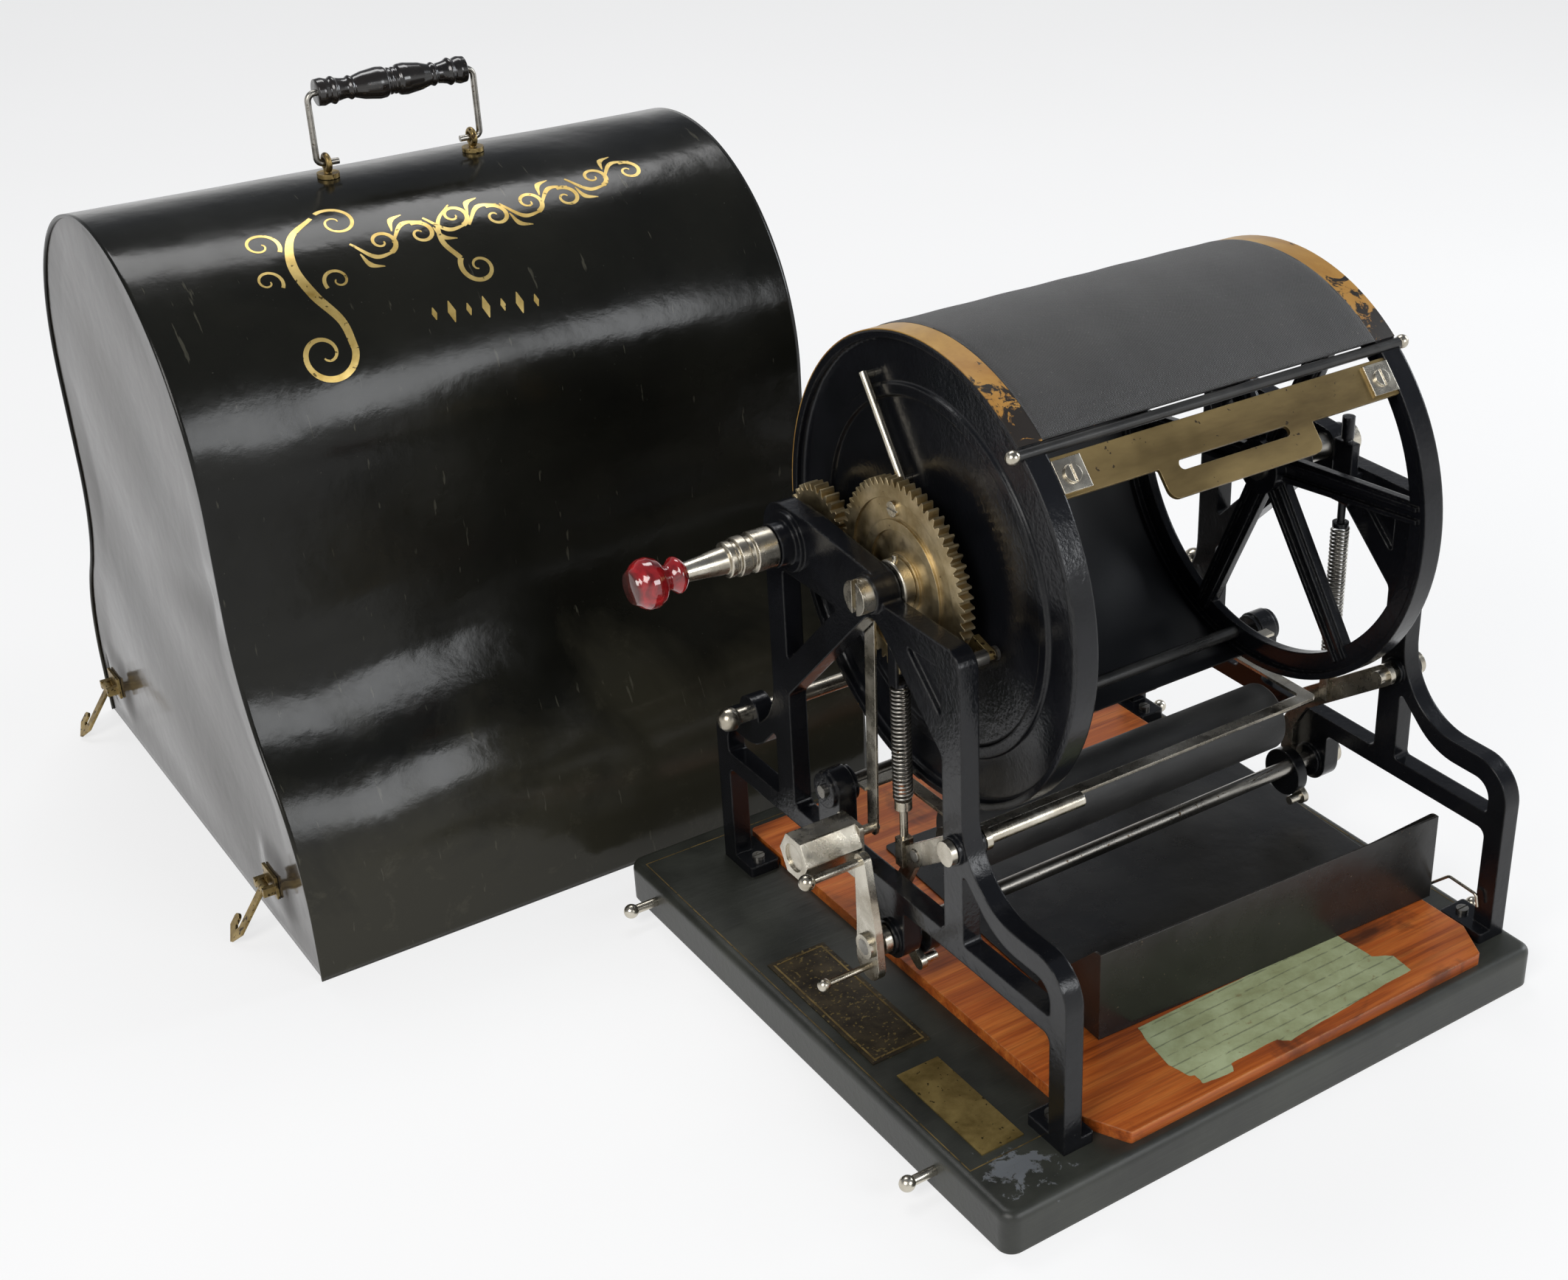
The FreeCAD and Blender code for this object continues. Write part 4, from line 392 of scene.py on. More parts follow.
finishes["brassPlate"] = surface("brassPlate", {
    "dark": (0.17, 0.115, 0.032), "light": (0.40, 0.29, 0.10), "patch": 60, "gloss": (0.32, 0.5),
    "metal": 0.8, "bumps": ((420, 0.0001),), "specks": (330, 0.66, (0.06, 0.042, 0.016))})
# end panels: dull black paint, lightened to brown-grey by a painted reflection of a pale wall
finishes["panelPaintAndReflection"] = surface("panelPaintAndReflection", {
    "dark": (0.016, 0.0125, 0.010), "light": (0.036, 0.029, 0.024), "patch": 7, "gloss": (0.07, 0.2),
    "smudge": 8, "bumps": ((7, 0.0012), (320, 0.00006)), "shine": 0.4,
    "specks": (600, 0.74, (0.08, 0.075, 0.065))})
print("duplicator: finishes made,", len(finishes))

nodeFinish = {
    "enamel": ["side_frame_left", "side_frame_right", "drum_disc", "drum_wheel", "spring_hangers",
               "trip_cams"],
    "hoodEnamel": ["hood_barrel"],
    "panelPaintAndReflection": ["hood_end_left", "hood_end_right"],
    "nickel": ["catch_pins", "cross_rod", "hub_nuts", "counter_case", "counter_bracket",
               "counter_link", "guide_frame", "gear_collar", "disc_rod", "clamp_fittings",
               "crank_sleeve", "lift_arm_left", "lift_arm_right", "pivot_rods", "spring_links",
               "trip_collars", "trip_lever", "trip_pegs", "tray_hook"],
    "gearSteel": ["drum_gear", "crank_pinion"],
    "steel": ["frame_screws", "spring_left", "spring_right", "pawl_pin", "drum_shaft",
              "crank_shaft", "roller_shaft", "trip_shaft", "feed_shaft", "bail_wire"],
    "blackSteel": ["drum_stays", "clamp_rod"],
    "ochreBand": ["drum_screen"],
    "bronze": ["clamp_bar"],
    "agedBrass": ["stop_pawl", "handle_eyes", "hook_plates", "hook_left_front", "hook_left_rear",
                  "hook_right_front", "hook_right_rear"],
    "rubber": ["impression_roller"],
    "brownRubber": ["feed_wheels"],
    "tin": ["tray"],
    "stainedWood": ["mat_board"],
    "boardPaint": ["base_board"],
    "inkedCloth": ["drum_cloth"],
    "redLacquer": ["crank_knob"],
    "turnedWood": ["bail_grip"],
}
for finishName, members in nodeFinish.items():
    for member in members:
        slots = nodes[member].data.materials
        slots.clear()
        slots.append(finishes[finishName])
left = sorted(set(nodes) - {m for members in nodeFinish.values() for m in members})
print("duplicator: nodes without a finish:", left)


# Mesh helpers

def newPiece(name, points, faces, finish, body):
    # a mesh made from points and faces, on one body
    mesh = bpy.data.meshes.new(name)
    mesh.from_pydata(points, [], faces)
    mesh.materials.append(finishes[finish])
    piece = bpy.data.objects.new(name, mesh)
    bpy.context.scene.collection.objects.link(piece)
    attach(piece, body)
    return piece


def gridQuads(index):
    return np.stack([index[:-1, :-1], index[1:, :-1], index[1:, 1:], index[:-1, 1:]], -1)


def ringsPiece(name, points, finish, body):
    # rings of points (ring, place on it, xyz) joined into a closed tube with flat ends
    rows, columns = points.shape[:2]
    index = np.arange(rows * columns).reshape(rows, columns)
    faces = gridQuads(np.hstack([index, index[:, :1]])).reshape(-1, 4).tolist()
    faces += [index[0].tolist(), index[-1][::-1].tolist()]
    piece = newPiece(name, points.reshape(-1, 3).tolist(), faces, finish, body)
    piece.data.polygons.foreach_set("use_smooth", np.ones(len(faces), bool))
    return piece


def framesAlong(path):
    # the two directions across a path at each of its points, without twist jumps
    tangent = np.gradient(path, axis=0)
    tangent /= np.linalg.norm(tangent, axis=1, keepdims=True)
    up = np.tile([0.0, 0.0, 1.0], (len(path), 1))
    up[np.abs(tangent[:, 2]) > 0.9] = [0.0, 1.0, 0.0]
    if (np.abs(tangent[:, 2]) > 0.9).any() and (np.abs(tangent[:, 2]) <= 0.9).any():
        up[:] = [0.31, 0.92, 0.24]
    side = np.cross(tangent, up)
    side /= np.linalg.norm(side, axis=1, keepdims=True)
    return side, np.cross(side, tangent)


def tubePiece(name, path, radius, finish, body, sides):
    # a round section of given radius carried along a path
    side, over = framesAlong(path)
    turn = np.linspace(0, 2 * np.pi, sides, endpoint=False)
    ring = np.cos(turn)[None, :, None] * side[:, None] + np.sin(turn)[None, :, None] * over[:, None]
    return ringsPiece(name, path[:, None] + radius * ring, finish, body)


def lathePiece(name, along, radius, centre, finish, body, sides=48):
    # a profile (distance along X, radius) turned about an axis through the centre
    turn = np.linspace(0, 2 * np.pi, sides, endpoint=False)
    x = np.broadcast_to(np.asarray(along)[:, None], (len(along), sides))
    r = np.asarray(radius)[:, None]
    points = np.stack([x, r * np.cos(turn), r * np.sin(turn)], -1) + np.asarray(centre)
    return ringsPiece(name, points, finish, body)


def outward(piece):
    # normals recalculated outwards on a closed piece
    work = bmesh.new()
    work.from_mesh(piece.data)
    bmesh.ops.remove_doubles(work, verts=work.verts, dist=1e-6)
    bmesh.ops.recalc_face_normals(work, faces=work.faces)
    work.to_mesh(piece.data)
    work.free()
    return piece


def slabPiece(name, outer, inner, finish, body, wrap=None):
    # two facing grids joined round their borders into one closed sheet
    rows, columns = outer.shape[:2]
    index = np.arange(rows * columns).reshape(rows, columns)
    under = index + rows * columns
    front = gridQuads(index)
    behind = np.stack([under[:-1, :-1], under[:-1, 1:], under[1:, 1:], under[1:, :-1]], -1)
    border = np.concatenate([index[0, :], index[1:, -1], index[-1, -2::-1], index[-2:0:-1, 0]])
    inside = border + rows * columns
    rim = np.stack([border, inside, np.roll(inside, -1), np.roll(border, -1)], -1)
    faces = np.concatenate([front.reshape(-1, 4), behind.reshape(-1, 4), rim[:, ::-1]])
    points = np.concatenate([outer.reshape(-1, 3), inner.reshape(-1, 3)])
    piece = newPiece(name, points.tolist(), faces.tolist(), finish, body)
    mesh = piece.data
    if wrap is not None:
        layer = mesh.uv_layers.new(name="wrap")
        corner = np.empty(len(mesh.loops), np.int32)
        mesh.loops.foreach_get("vertex_index", corner)
        both = np.concatenate([wrap.reshape(-1, 2)] * 2)
        layer.data.foreach_set("uv", both[corner].astype(np.float32).ravel())
    smooth = np.ones(len(mesh.polygons), bool)
    smooth[len(faces) - len(rim):] = False
    mesh.polygons.foreach_set("use_smooth", smooth)
    return outward(piece)


# Hood: the sheet's section, walked from the front foot over the crown to the rear foot

hoodSizes = {"left": -0.404, "right": 0.002, "middleY": 0.448, "half": 0.210, "inset": 0.066,
             "low": 0.040, "high": 0.227, "shoulder": 0.290, "sheet": 0.0012}


def hoodSection():
    size = hoodSizes
    rise = size["high"] - size["low"]
    swing = 2 * math.atan(size["inset"] / rise)
    radius = rise / (2 * math.sin(swing))
    crown = size["half"] - size["inset"]
    foot = np.linspace(0, size["low"], 20)
    lower = np.linspace(0, swing, 90)
    upper = np.linspace(math.pi + swing, math.pi, 90)
    over = np.linspace(math.pi, math.pi / 2, 160)
    side = np.concatenate([
        np.stack([np.full(20, -size["half"]), foot], -1),
        np.stack([-(size["half"] - radius + radius * np.cos(lower)),
                  size["low"] + radius * np.sin(lower)], -1),
        np.stack([-(crown + radius + radius * np.cos(upper)),
                  size["high"] + radius * np.sin(upper)], -1),
        np.stack([np.full(20, -crown), np.linspace(size["high"], size["shoulder"], 20)], -1),
        np.stack([crown * np.cos(over), size["shoulder"] + crown * np.sin(over)], -1)])
    whole = np.concatenate([side, (side * [-1, 1])[::-1]])
    step = np.hypot(*np.diff(whole, axis=0).T)
    whole = whole[np.r_[True, step > 1e-7]]
    return whole, np.r_[0, np.cumsum(np.hypot(*np.diff(whole, axis=0).T))]


sectionLine, sectionWay = hoodSection()
sectionLength = sectionWay[-1]
# dents pressed into the sheet: place along X and round the section, half sizes, slant, depth
dents = [(0.045, 0.365, 0.026, 0.028, 0.2, 0.0012), (0.185, 0.125, 0.034, 0.022, 0.5, 0.0024),
         (0.240, 0.142, 0.020, 0.026, -0.3, 0.0026), (0.135, 0.195, 0.034, 0.018, 0.15, 0.0012),
         (0.210, 0.085, 0.050, 0.030, 0.2, 0.0020), (0.300, 0.215, 0.060, 0.050, 0.4, 0.0016),
         (0.335, 0.520, 0.040, 0.034, -0.2, 0.0024), (0.090, 0.505, 0.050, 0.030, 0.1, 0.0008),
         (0.120, 0.055, 0.050, 0.026, -0.1, 0.0008), (0.050, 0.140, 0.030, 0.050, 0.4, 0.0018),
         (0.330, 0.090, 0.040, 0.040, 0.0, 0.0016), (0.260, 0.340, 0.080, 0.040, 0.3, 0.0012),
         (0.200, 0.900, 0.080, 0.050, 0.2, 0.0026), (0.100, 1.020, 0.050, 0.040, -0.4, 0.0024),
         (0.310, 0.760, 0.050, 0.060, 0.3, 0.0022), (0.080, 0.720, 0.050, 0.040, 0.1, 0.0016)]


def hoodDent(x, way):
    # how far the sheet is pressed in, fading out at its feet and at its rolled ends
    depth = np.zeros(np.broadcast(x, way).shape)
    for atX, atWay, wide, tall, slant, deep in dents:
        dx, dw = x - atX, way - atWay
        along = (dx * math.cos(slant) + dw * math.sin(slant)) / wide
        across = (dw * math.cos(slant) - dx * math.sin(slant)) / tall
        depth = depth + deep * np.exp(-along ** 2 - across ** 2)
    ripple = (np.sin(x * 41 + way * 17) * np.sin(way * 33 - x * 12 + 1.3) + 1) * 0.00022
    width = hoodSizes["right"] - hoodSizes["left"]
    edge = np.clip(np.minimum(x, width - x) / 0.022, 0, 1)
    feet = np.clip(np.minimum(way, sectionLength - way) / 0.03, 0, 1)
    return (depth + ripple) * edge ** 2 * (3 - 2 * edge) * feet ** 2 * (3 - 2 * feet)


def hoodPoint(x, way, inward=0.0):
    # a place on the dented sheet: x from its left end, way from its front foot
    y = np.interp(way, sectionWay, sectionLine[:, 0])
    z = np.interp(way, sectionWay, sectionLine[:, 1])
    small = 0.0015
    ahead, behind = np.clip(way + small, 0, sectionLength), np.clip(way - small, 0, sectionLength)
    ty = np.interp(ahead, sectionWay, sectionLine[:, 0]) - np.interp(behind, sectionWay, sectionLine[:, 0])
    tz = np.interp(ahead, sectionWay, sectionLine[:, 1]) - np.interp(behind, sectionWay, sectionLine[:, 1])
    long = np.hypot(ty, tz)
    press = hoodDent(x, way) + inward
    return np.stack(np.broadcast_arrays(
        hoodSizes["left"] + x, hoodSizes["middleY"] + y + press * tz / long,
        z - press * ty / long), -1)


gridX, gridWay = np.meshgrid(np.linspace(0, 0.406, 150), np.linspace(0, sectionLength, 300), indexing="ij")
hoodSkin = slabPiece("hood_skin", hoodPoint(gridX, gridWay), hoodPoint(gridX, gridWay, hoodSizes["sheet"]),
                     "hoodEnamel", "hood")
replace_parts(hoodSkin, "hood_barrel")
print("duplicator: hood skin made")

plateSpots = [(0.306, 0.037), (0.622, 0.037)]


def endPanel(name, left):
    # a sheet set back a little inside the barrel's rolled end, with soft warps
    lines = np.linspace(0, 1, 130)
    half = sectionWay[-1] / 2
    way = lines * (half - 0.004)
    edgeY = -np.interp(way, sectionWay, sectionLine[:, 0]) - hoodSizes["sheet"]
    edgeZ = np.interp(way, sectionWay, sectionLine[:, 1])
    aboveShoulder = np.clip(edgeZ - hoodSizes["shoulder"], 0, None)
    edgeZ = edgeZ - hoodSizes["sheet"] * aboveShoulder / (hoodSizes["half"] - hoodSizes["inset"])
    across = np.linspace(-1, 1, 90)
    y = hoodSizes["middleY"] + edgeY[:, None] * across
    z = np.broadcast_to(edgeZ[:, None], y.shape)
    border = np.clip((1 - np.abs(across)) * edgeY[:, None] / 0.03, 0, 1) * np.clip(z / 0.03, 0, 1)
    warp = 0.0012 + 0.0012 * np.sin(z * 19 + y * 7) * np.sin(y * 15 + 0.6) + 0.0007 * np.sin(z * 34 - y * 22)
    alongCrease = np.exp(-((y - 0.35) / 0.07) ** 2)
    crease = 0.0028 * np.exp(-((z - 0.215 + 0.25 * (y - 0.38)) / 0.020) ** 2) * alongCrease
    near = sum(np.exp(-((y - py) / 0.02) ** 4 - ((z - pz) / 0.022) ** 4) for py, pz in plateSpots)
    back = 0.0014 * (1 - np.clip(near, 0, 1)) + (warp + crease) * border * (1 - np.clip(near, 0, 1))
    sign = 1 if left else -1
    start = hoodSizes["left"] if left else hoodSizes["right"]
    outer = np.stack([start + sign * back, y, z], -1)
    inner = outer + [sign * 0.0011, 0, 0]
    panel = slabPiece(name, outer, inner, "panelPaintAndReflection", "hood")
    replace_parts(panel, "hood_end_left" if left else "hood_end_right")
    return panel


endPanel("panel_left", True)
endPanel("panel_right", False)

beadWay = np.linspace(0.0015, sectionLength - 0.0015, 420)
for name, x in (("bead_left", 0.0011), ("bead_right", 0.406 - 0.0011)):
    line = hoodPoint(np.full(420, x), beadWay, 0.0012)
    tubePiece(name, line, 0.0011, "hoodEnamel", "hood", sides=10)
print("duplicator: hood ends made")


# Gold ornament on the hood's front: a scroll, a vine and a row of lozenges in thin leaf

def spiral(centre, start, turns, wide, narrow, begin, hand=1):
    t = np.linspace(0, 1, 70)
    angle = begin + hand * t * turns * 2 * np.pi
    radius = start * (1 - 0.86 * t)
    line = np.stack([centre[0] + radius * np.cos(angle), centre[1] + radius * np.sin(angle)], -1)
    return line, wide * (1 - t) + narrow * t


def sweep(points, widths):
    # a smooth line through a few points, with its widths
    points = np.asarray(points, float)
    knots = np.linspace(0, 1, len(points))
    t = np.linspace(0, 1, 60)
    lines = []
    for column in points.T:
        slope = np.gradient(column, knots)
        span = np.clip(np.searchsorted(knots, t, side="right") - 1, 0, len(knots) - 2)
        h = knots[span + 1] - knots[span]
        u = (t - knots[span]) / h
        fromHere = (2 * u ** 3 - 3 * u ** 2 + 1) * column[span]
        leaving = (u ** 3 - 2 * u ** 2 + u) * h * slope[span]
        toNext = (3 * u ** 2 - 2 * u ** 3) * column[span + 1]
        arriving = (u ** 3 - u ** 2) * h * slope[span + 1]
        lines.append(fromHere + leaving + toNext + arriving)
    return np.stack(lines, -1), np.interp(t, knots, widths)


def goldStrokes():
    # all places are in millimetres: along X from the hood's left end, and up from its front foot
    strokes = [
        spiral((94, 386), 18, 1.35, 4.4, 1.0, 0.0, -1),
        sweep([(112, 386), (110, 404), (100, 424), (96, 446), (104, 468), (122, 482)],
              [4.4, 5.2, 6.4, 6.0, 4.2, 2.6]),
        spiral((134, 474), 14, 1.3, 2.8, 0.8, 2.2, -1),
        spiral((84, 466), 12, 1.2, 2.6, 0.8, 5.6, 1),
        spiral((78, 438), 9, 1.1, 2.2, 0.8, 5.6, 1),
        spiral((118, 430), 9, 1.15, 2.4, 0.8, 3.6, -1),
        spiral((205, 420), 12, 1.3, 3.4, 0.9, 2.4, 1),
        sweep([(196, 428), (190, 442), (194, 458), (206, 470)], [3.4, 3.4, 2.4, 1.0])]
    # a rising vine with scrolls and leaves to either side
    count = 8
    for i in range(count):
        x, way = 150 + 25.5 * i, 448 + 3.0 * i + 4 * math.sin(i * 1.1)
        up = 1 if i % 2 else -1
        stem = [(x - 15, way - 6 * up), (x - 4, way + 7 * up), (x + 9, way + 6 * up)]
        leaf = [(x - 12, way + 3 * up), (x - 9, way + 12 * up), (x - 1, way + 15 * up)]
        strokes.append(sweep(stem, [1.4, 3.2, 1.4]))
        strokes.append(spiral((x + 4, way - 3 * up), 9.5, 1.2, 3.2, 0.9, 1.57 * up + 0.3, -up))
        strokes.append(sweep(leaf, [0.8, 3.6, 0.6]))
    # a short row of lozenges under it
    for i in range(7):
        x, way = 166 + 11 * i, 396 - 0.9 * i
        tall = 7 if i % 2 else 4
        strokes.append(sweep([(x, way - tall), (x, way), (x, way + tall)], [0.5, 5.2 if i % 2 else 3.4, 0.5]))
    return [(line / 1000, width / 1000) for line, width in strokes]


def leafPiece(name, strokes):
    # every stroke is a thin closed strip laid on the dented sheet
    points, faces, start = [], [], 0
    for line, width in strokes:
        way = np.gradient(line, axis=0)
        way /= np.linalg.norm(way, axis=1, keepdims=True)
        side = np.stack([-way[:, 1], way[:, 0]], -1) * width[:, None] / 2
        count = len(line)
        for edge, lift in ((side, -0.00012), (-side, -0.00012), (-side, 0.00006), (side, 0.00006)):
            place = line + edge
            points.append(hoodPoint(place[:, 0], place[:, 1], lift))
        ring = start + np.arange(count)[:, None] + np.array([0, 1, 2, 3])[None] * count
        for k in range(4):
            after = (k + 1) % 4
            faces += np.stack([ring[:-1, k], ring[1:, k], ring[1:, after], ring[:-1, after]], -1).tolist()
        faces += [ring[0].tolist(), ring[-1][::-1].tolist()]
        start += 4 * count
    piece = newPiece(name, np.concatenate(points).tolist(), faces, "goldLeaf", "hood")
    work = bmesh.new()
    work.from_mesh(piece.data)
    bmesh.ops.recalc_face_normals(work, faces=work.faces)
    work.to_mesh(piece.data)
    work.free()


leafPiece("gold_ornament", goldStrokes())
print("duplicator: gold ornament made")


# Handle grip: a turned baluster, from one end to the other along X

def gripProfile():
    half = [(0.0, 0.0082), (0.004, 0.0087), (0.008, 0.0074), (0.0105, 0.0090), (0.0125, 0.0074),
            (0.0160, 0.0066), (0.0195, 0.0062), (0.0215, 0.0078), (0.0235, 0.0066), (0.0300, 0.0086),
            (0.0400, 0.0100), (0.0445, 0.0096), (0.0462, 0.0078), (0.0475, 0.0088), (0.0487, 0.0078)]
    t = np.array([h[0] for h in half])
    r = np.array([h[1] for h in half])
    fine = np.linspace(0, 0.0487, 110)
    shape = np.interp(fine, t, r)
    kernel = np.array([1, 2, 3, 2, 1]) / 9
    shape = np.convolve(np.pad(shape, 2, mode="edge"), kernel, mode="valid")
    along = np.r_[fine, 0.098 - fine[::-1]] - 0.049
    radius = np.r_[shape, shape[::-1]]
    return along, radius


gripAlong, gripRadius = gripProfile()
gripPiece = lathePiece("grip_turned", np.r_[gripAlong[0], gripAlong, gripAlong[-1]],
                       np.r_[0.0024, gripRadius, 0.0024],
                       (-0.201, 0.448, 0.487), "turnedWood", "bail")
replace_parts(outward(gripPiece), "bail_grip")


# Crank knob: a turned ball with a collar at its neck

def knobProfile():
    place = [0, 0.03, 0.10, 0.16, 0.23, 0.30, 0.37, 0.48, 0.62, 0.76, 0.86, 0.93, 0.97, 1.0]
    share = [0.50, 0.60, 0.71, 0.71, 0.56, 0.46, 0.56, 0.86, 0.985, 0.97, 0.85, 0.70, 0.68, 0.60]
    fine = np.linspace(0, 1, 90)
    shape = np.interp(fine, place, share)
    kernel = np.array([1, 2, 3, 4, 3, 2, 1]) / 16
    return fine, np.convolve(np.pad(shape, 3, mode="edge"), kernel, mode="valid")


knobNode = nodes["crank_knob"]
knobBox = np.array([knobNode.matrix_world @ Vector(corner) for corner in knobNode.bound_box])
knobLow, knobHigh = knobBox.min(0), knobBox.max(0)
knobAlong, knobShare = knobProfile()
knobRadius = (knobHigh[2] - knobLow[2]) / 2 * knobShare
knobCentre = (0, (knobLow[1] + knobHigh[1]) / 2, (knobLow[2] + knobHigh[2]) / 2)
knobPiece = lathePiece("knob_turned", knobHigh[0] + (knobLow[0] - knobHigh[0]) * knobAlong, knobRadius,
                       knobCentre, "redLacquer", "crank", sides=64)
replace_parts(outward(knobPiece), "crank_knob")


# Drum cloth: one stretched sheet with slack ripples, a shallow hem pressed in along its ends

def drumCloth():
    left, right = -0.099, 0.133
    inner, outer = 0.13705, 0.1378
    start, end = math.radians(51), math.radians(264)
    x, turn = np.meshgrid(np.linspace(left, right, 150), np.linspace(start, end, 260), indexing="ij")
    share = (turn - start) / (end - start)
    wave = 0.00016 * np.sin(x * 70 + turn * 3) * np.sin(turn * 11 + 0.4)
    wave = wave + 0.00012 * np.sin(x * 155 - turn * 4)
    slack = 0.00022 * np.exp(-((share - 0.02) / 0.05) ** 2) * np.sin(x * 120)
    radius = outer - 0.0003 + wave + slack
    hem = 0.0005 * np.exp(-((x - left) / 0.002) ** 2) + 0.0005 * np.exp(-((x - right) / 0.002) ** 2)
    radius = np.minimum(radius - hem, outer)

    def around(r):
        return np.stack([x, drumY - r * np.cos(turn), drumZ + r * np.sin(turn)], -1)

    wrap = np.stack([x, turn * outer], -1)
    piece = slabPiece("cloth_sheet", around(radius), around(np.full(x.shape, inner)), "inkedCloth",
                      "drum", wrap=wrap)
    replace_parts(piece, "drum_cloth")


drumCloth()
print("duplicator: grip and cloth made")


# Board furniture: the framed plate, the worn brass plate, pinstripe and paper label

def flatPiece(name, corners, low, high, finish, body, steps=26, ragged=0.0, seed=3):
    # a thin slab through corner points in X and Y; its outline may be torn
    corners = np.asarray(corners, float)
    loop = np.concatenate([np.linspace(corners[i], corners[(i + 1) % len(corners)], steps, endpoint=False)
                           for i in range(len(corners))])
    if ragged:
        rng = np.random.default_rng(seed)
        rough = rng.normal(0, 1, (len(loop), 2))
        rough = (rough + np.roll(rough, 1, 0) + np.roll(rough, -1, 0)) / 3
        loop = loop + rough * ragged
    count = len(loop)
    points = np.concatenate([np.c_[loop, np.full(count, high)], np.c_[loop, np.full(count, low)]])
    here = np.arange(count)
    after = np.roll(here, -1)
    faces = np.stack([here, here + count, after + count, after], -1).tolist()
    faces += [here.tolist(), (here + count)[::-1].tolist()]
    return outward(newPiece(name, points.tolist(), faces, finish, body))


def frameStrip(name, x0, y0, x1, y1, width, low, high, finish):
    # a thin rectangular line round a plate
    outer = np.array([(x0, y0), (x1, y0), (x1, y1), (x0, y1)])
    inner = outer + np.array([(1, 1), (-1, 1), (-1, -1), (1, -1)]) * width
    points = np.concatenate([np.c_[ring, np.full(4, z)] for z in (low, high) for ring in (outer, inner)])
    faces = []
    for i in range(4):
        j = (i + 1) % 4
        faces += [[8 + i, 8 + j, 12 + j, 12 + i], [i, 4 + i, 4 + j, j],
                  [i, j, 8 + j, 8 + i], [4 + i, 12 + i, 12 + j, 4 + j]]
    return outward(newPiece(name, points.tolist(), faces, finish, "base"))


boardTop, matTop = 0.027, 0.035
flatPiece("plate_dark", [(-0.190, -0.062), (-0.150, -0.062), (-0.150, 0.055), (-0.190, 0.055)],
          boardTop - 0.0002, boardTop + 0.0009, "darkPlate", "base")
frameStrip("plate_line", -0.1875, -0.0595, -0.1525, 0.0525, 0.0012, boardTop + 0.0008, boardTop + 0.0011,
           "dullGold")
flatPiece("plate_brass", [(-0.1845, -0.161), (-0.156, -0.161), (-0.156, -0.078), (-0.1845, -0.078)],
          boardTop - 0.0002, boardTop + 0.0008, "brassPlate", "base")
frameStrip("board_stripe", -0.197, -0.1675, 0.197, 0.197, 0.0007, boardTop - 0.0001, boardTop + 0.00012,
           "dullGold")
flatPiece("paper_label", [(-0.053, -0.133), (-0.060, -0.170), (-0.057, -0.183), (-0.054, -0.186),
                          (-0.054, -0.194), (-0.034, -0.196), (-0.030, -0.190), (0.006, -0.190),
                          (0.010, -0.195), (0.020, -0.194), (0.086, -0.190), (0.115, -0.189),
                          (0.117, -0.172), (0.106, -0.165), (0.104, -0.134)],
          matTop - 0.0001, matTop + 0.00016, "paperLabel", "base", steps=8, ragged=0.0005)
print("duplicator: plates and label made")


# Floor, light and camera

def stageWhite():
    # a pale floor that the camera sees white, with the object's shadow kept faint
    finish, tree, shader = newFinish("stageWhite")
    patch = noise(tree, placed(tree), 2, 2, 0.5)
    pale = ramp(tree, patch, [(0.3, (0.86, 0.86, 0.86)), (0.7, (0.9, 0.9, 0.9))])
    tree.links.new(pale, shader.inputs["Base Color"])
    shader.inputs["Roughness"].default_value = 0.9
    shader.inputs["Specular IOR Level"].default_value = 0.1
    rays = addNode(tree, "ShaderNodeLightPath")
    seen = arithmetic(tree, "MAXIMUM", rays.outputs["Is Camera Ray"], rays.outputs["Is Glossy Ray"])
    seen = arithmetic(tree, "MAXIMUM", seen, rays.outputs["Is Transmission Ray"])
    white = addNode(tree, "ShaderNodeEmission", Color=(1, 1, 1, 1), Strength=1.0)
    both = addNode(tree, "ShaderNodeMixShader", _0=arithmetic(tree, "MULTIPLY", seen, 0.72),
                   _1=shader.outputs[0], _2=white.outputs[0])
    tree.links.new(both.outputs[0], tree.nodes["Material Output"].inputs["Surface"])
    return finish


def floorPiece():
    reach = 6.0
    lines = 21
    steps = np.linspace(-reach, reach, lines)
    x, y = np.meshgrid(steps, steps, indexing="ij")
    quads = gridQuads(np.arange(lines * lines).reshape(lines, lines)).reshape(-1, 4)
    points = np.stack([x, y, np.full(x.shape, -0.0004)], -1).reshape(-1, 3)
    mesh = bpy.data.meshes.new("floor")
    mesh.from_pydata(points.tolist(), [], quads.tolist())
    mesh.materials.append(stageWhite())
    piece = bpy.data.objects.new("floor", mesh)
    bpy.context.scene.collection.objects.link(piece)


floorPiece()

world = bpy.data.worlds.new("studio")
bpy.context.scene.world = world
world.use_nodes = True
skyTree = world.node_tree
background = skyTree.nodes["Background"]
rays = addNode(skyTree, "ShaderNodeLightPath")
seen = addNode(skyTree, "ShaderNodeBackground", Color=(1, 1, 1, 1), Strength=1.0)
background.inputs["Color"].default_value = (0.75, 0.8, 0.9, 1)
background.inputs["Strength"].default_value = 0.24
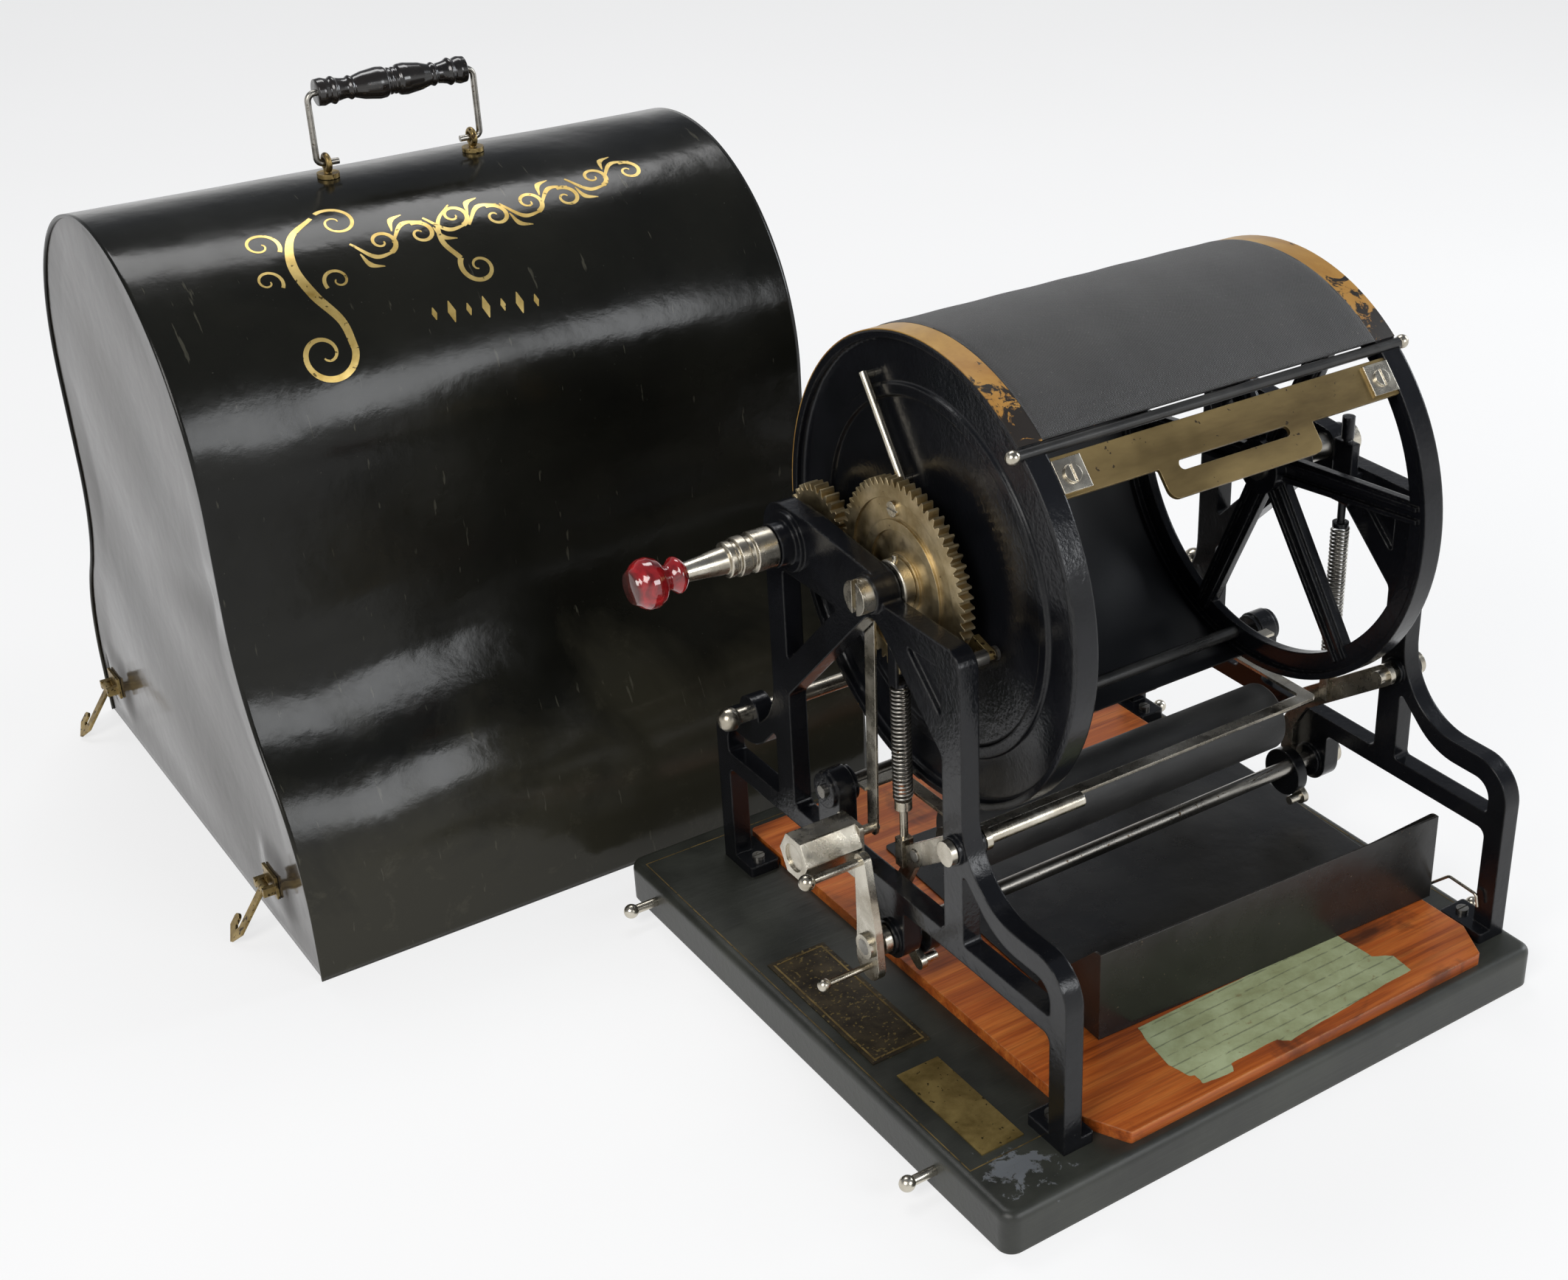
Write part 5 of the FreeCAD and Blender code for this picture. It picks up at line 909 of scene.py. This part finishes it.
# metal and glass see the white sweep too, which fades out above the horizon
heading = addNode(skyTree, "ShaderNodeSeparateXYZ",
                  Vector=addNode(skyTree, "ShaderNodeTexCoord").outputs["Generated"])
sweepShare = grey(skyTree, heading.outputs["Z"], 1.0, 0.0, 0.05, 0.45)
mirrored = arithmetic(skyTree, "MAXIMUM", rays.outputs["Is Glossy Ray"], rays.outputs["Is Transmission Ray"])
mirrored = arithmetic(skyTree, "MULTIPLY", mirrored, sweepShare)
whiteShare = arithmetic(skyTree, "MAXIMUM", rays.outputs["Is Camera Ray"], mirrored)
either = addNode(skyTree, "ShaderNodeMixShader", _0=whiteShare,
                 _1=background.outputs[0], _2=seen.outputs[0])
skyTree.links.new(either.outputs[0], skyTree.nodes["World Output"].inputs["Surface"])

target = Vector((-0.05, 0.15, 0.2))
lamps = {
    "keyLeft": {"place": (-1.9, -0.9, 1.7), "size": (1.1, 1.1), "watts": 34, "tint": (1, 0.98, 0.95)},
    "fillFront": {"place": (0.7, -2.4, 1.3), "size": (1.2, 0.9), "watts": 26, "tint": (0.96, 0.98, 1)},
    "topBack": {"place": (0.2, 1.3, 2.6), "size": (1.8, 0.8), "watts": 30, "tint": (1, 1, 1)},
    "rightEdge": {"place": (2.2, -0.2, 1.1), "size": (0.7, 1.2), "watts": 20, "tint": (0.9, 0.95, 1)},
}
for name, facts in lamps.items():
    lamp = bpy.data.lights.new(name, "AREA")
    lamp.shape = "RECTANGLE"
    lamp.size, lamp.size_y = facts["size"]
    lamp.energy = facts["watts"]
    lamp.color = facts["tint"]
    stand = bpy.data.objects.new(name, lamp)
    bpy.context.scene.collection.objects.link(stand)
    stand.location = facts["place"]
    stand.rotation_euler = (target - stand.location).to_track_quat("-Z", "Y").to_euler()

view = bpy.data.cameras.new("photoView")
view.sensor_fit = "HORIZONTAL"
view.sensor_width = 36
view.lens = 51.24
view.shift_x = -0.1502
view.shift_y = 0.0168
view.clip_end = 50
camera = bpy.data.objects.new("photoView", view)
bpy.context.scene.collection.objects.link(camera)
right, over, ahead = (0.80204, -0.59727, 0.00249), (0.28988, 0.39291, 0.87269), (0.52221, 0.69921, -0.48827)
turn = Matrix((right, over, tuple(-a for a in ahead))).transposed().to_4x4()
camera.matrix_world = Matrix.Translation((-0.7251, -0.9178, 0.8527)) @ turn
bpy.context.scene.camera = camera
bpy.context.scene.view_settings.view_transform = "Standard"
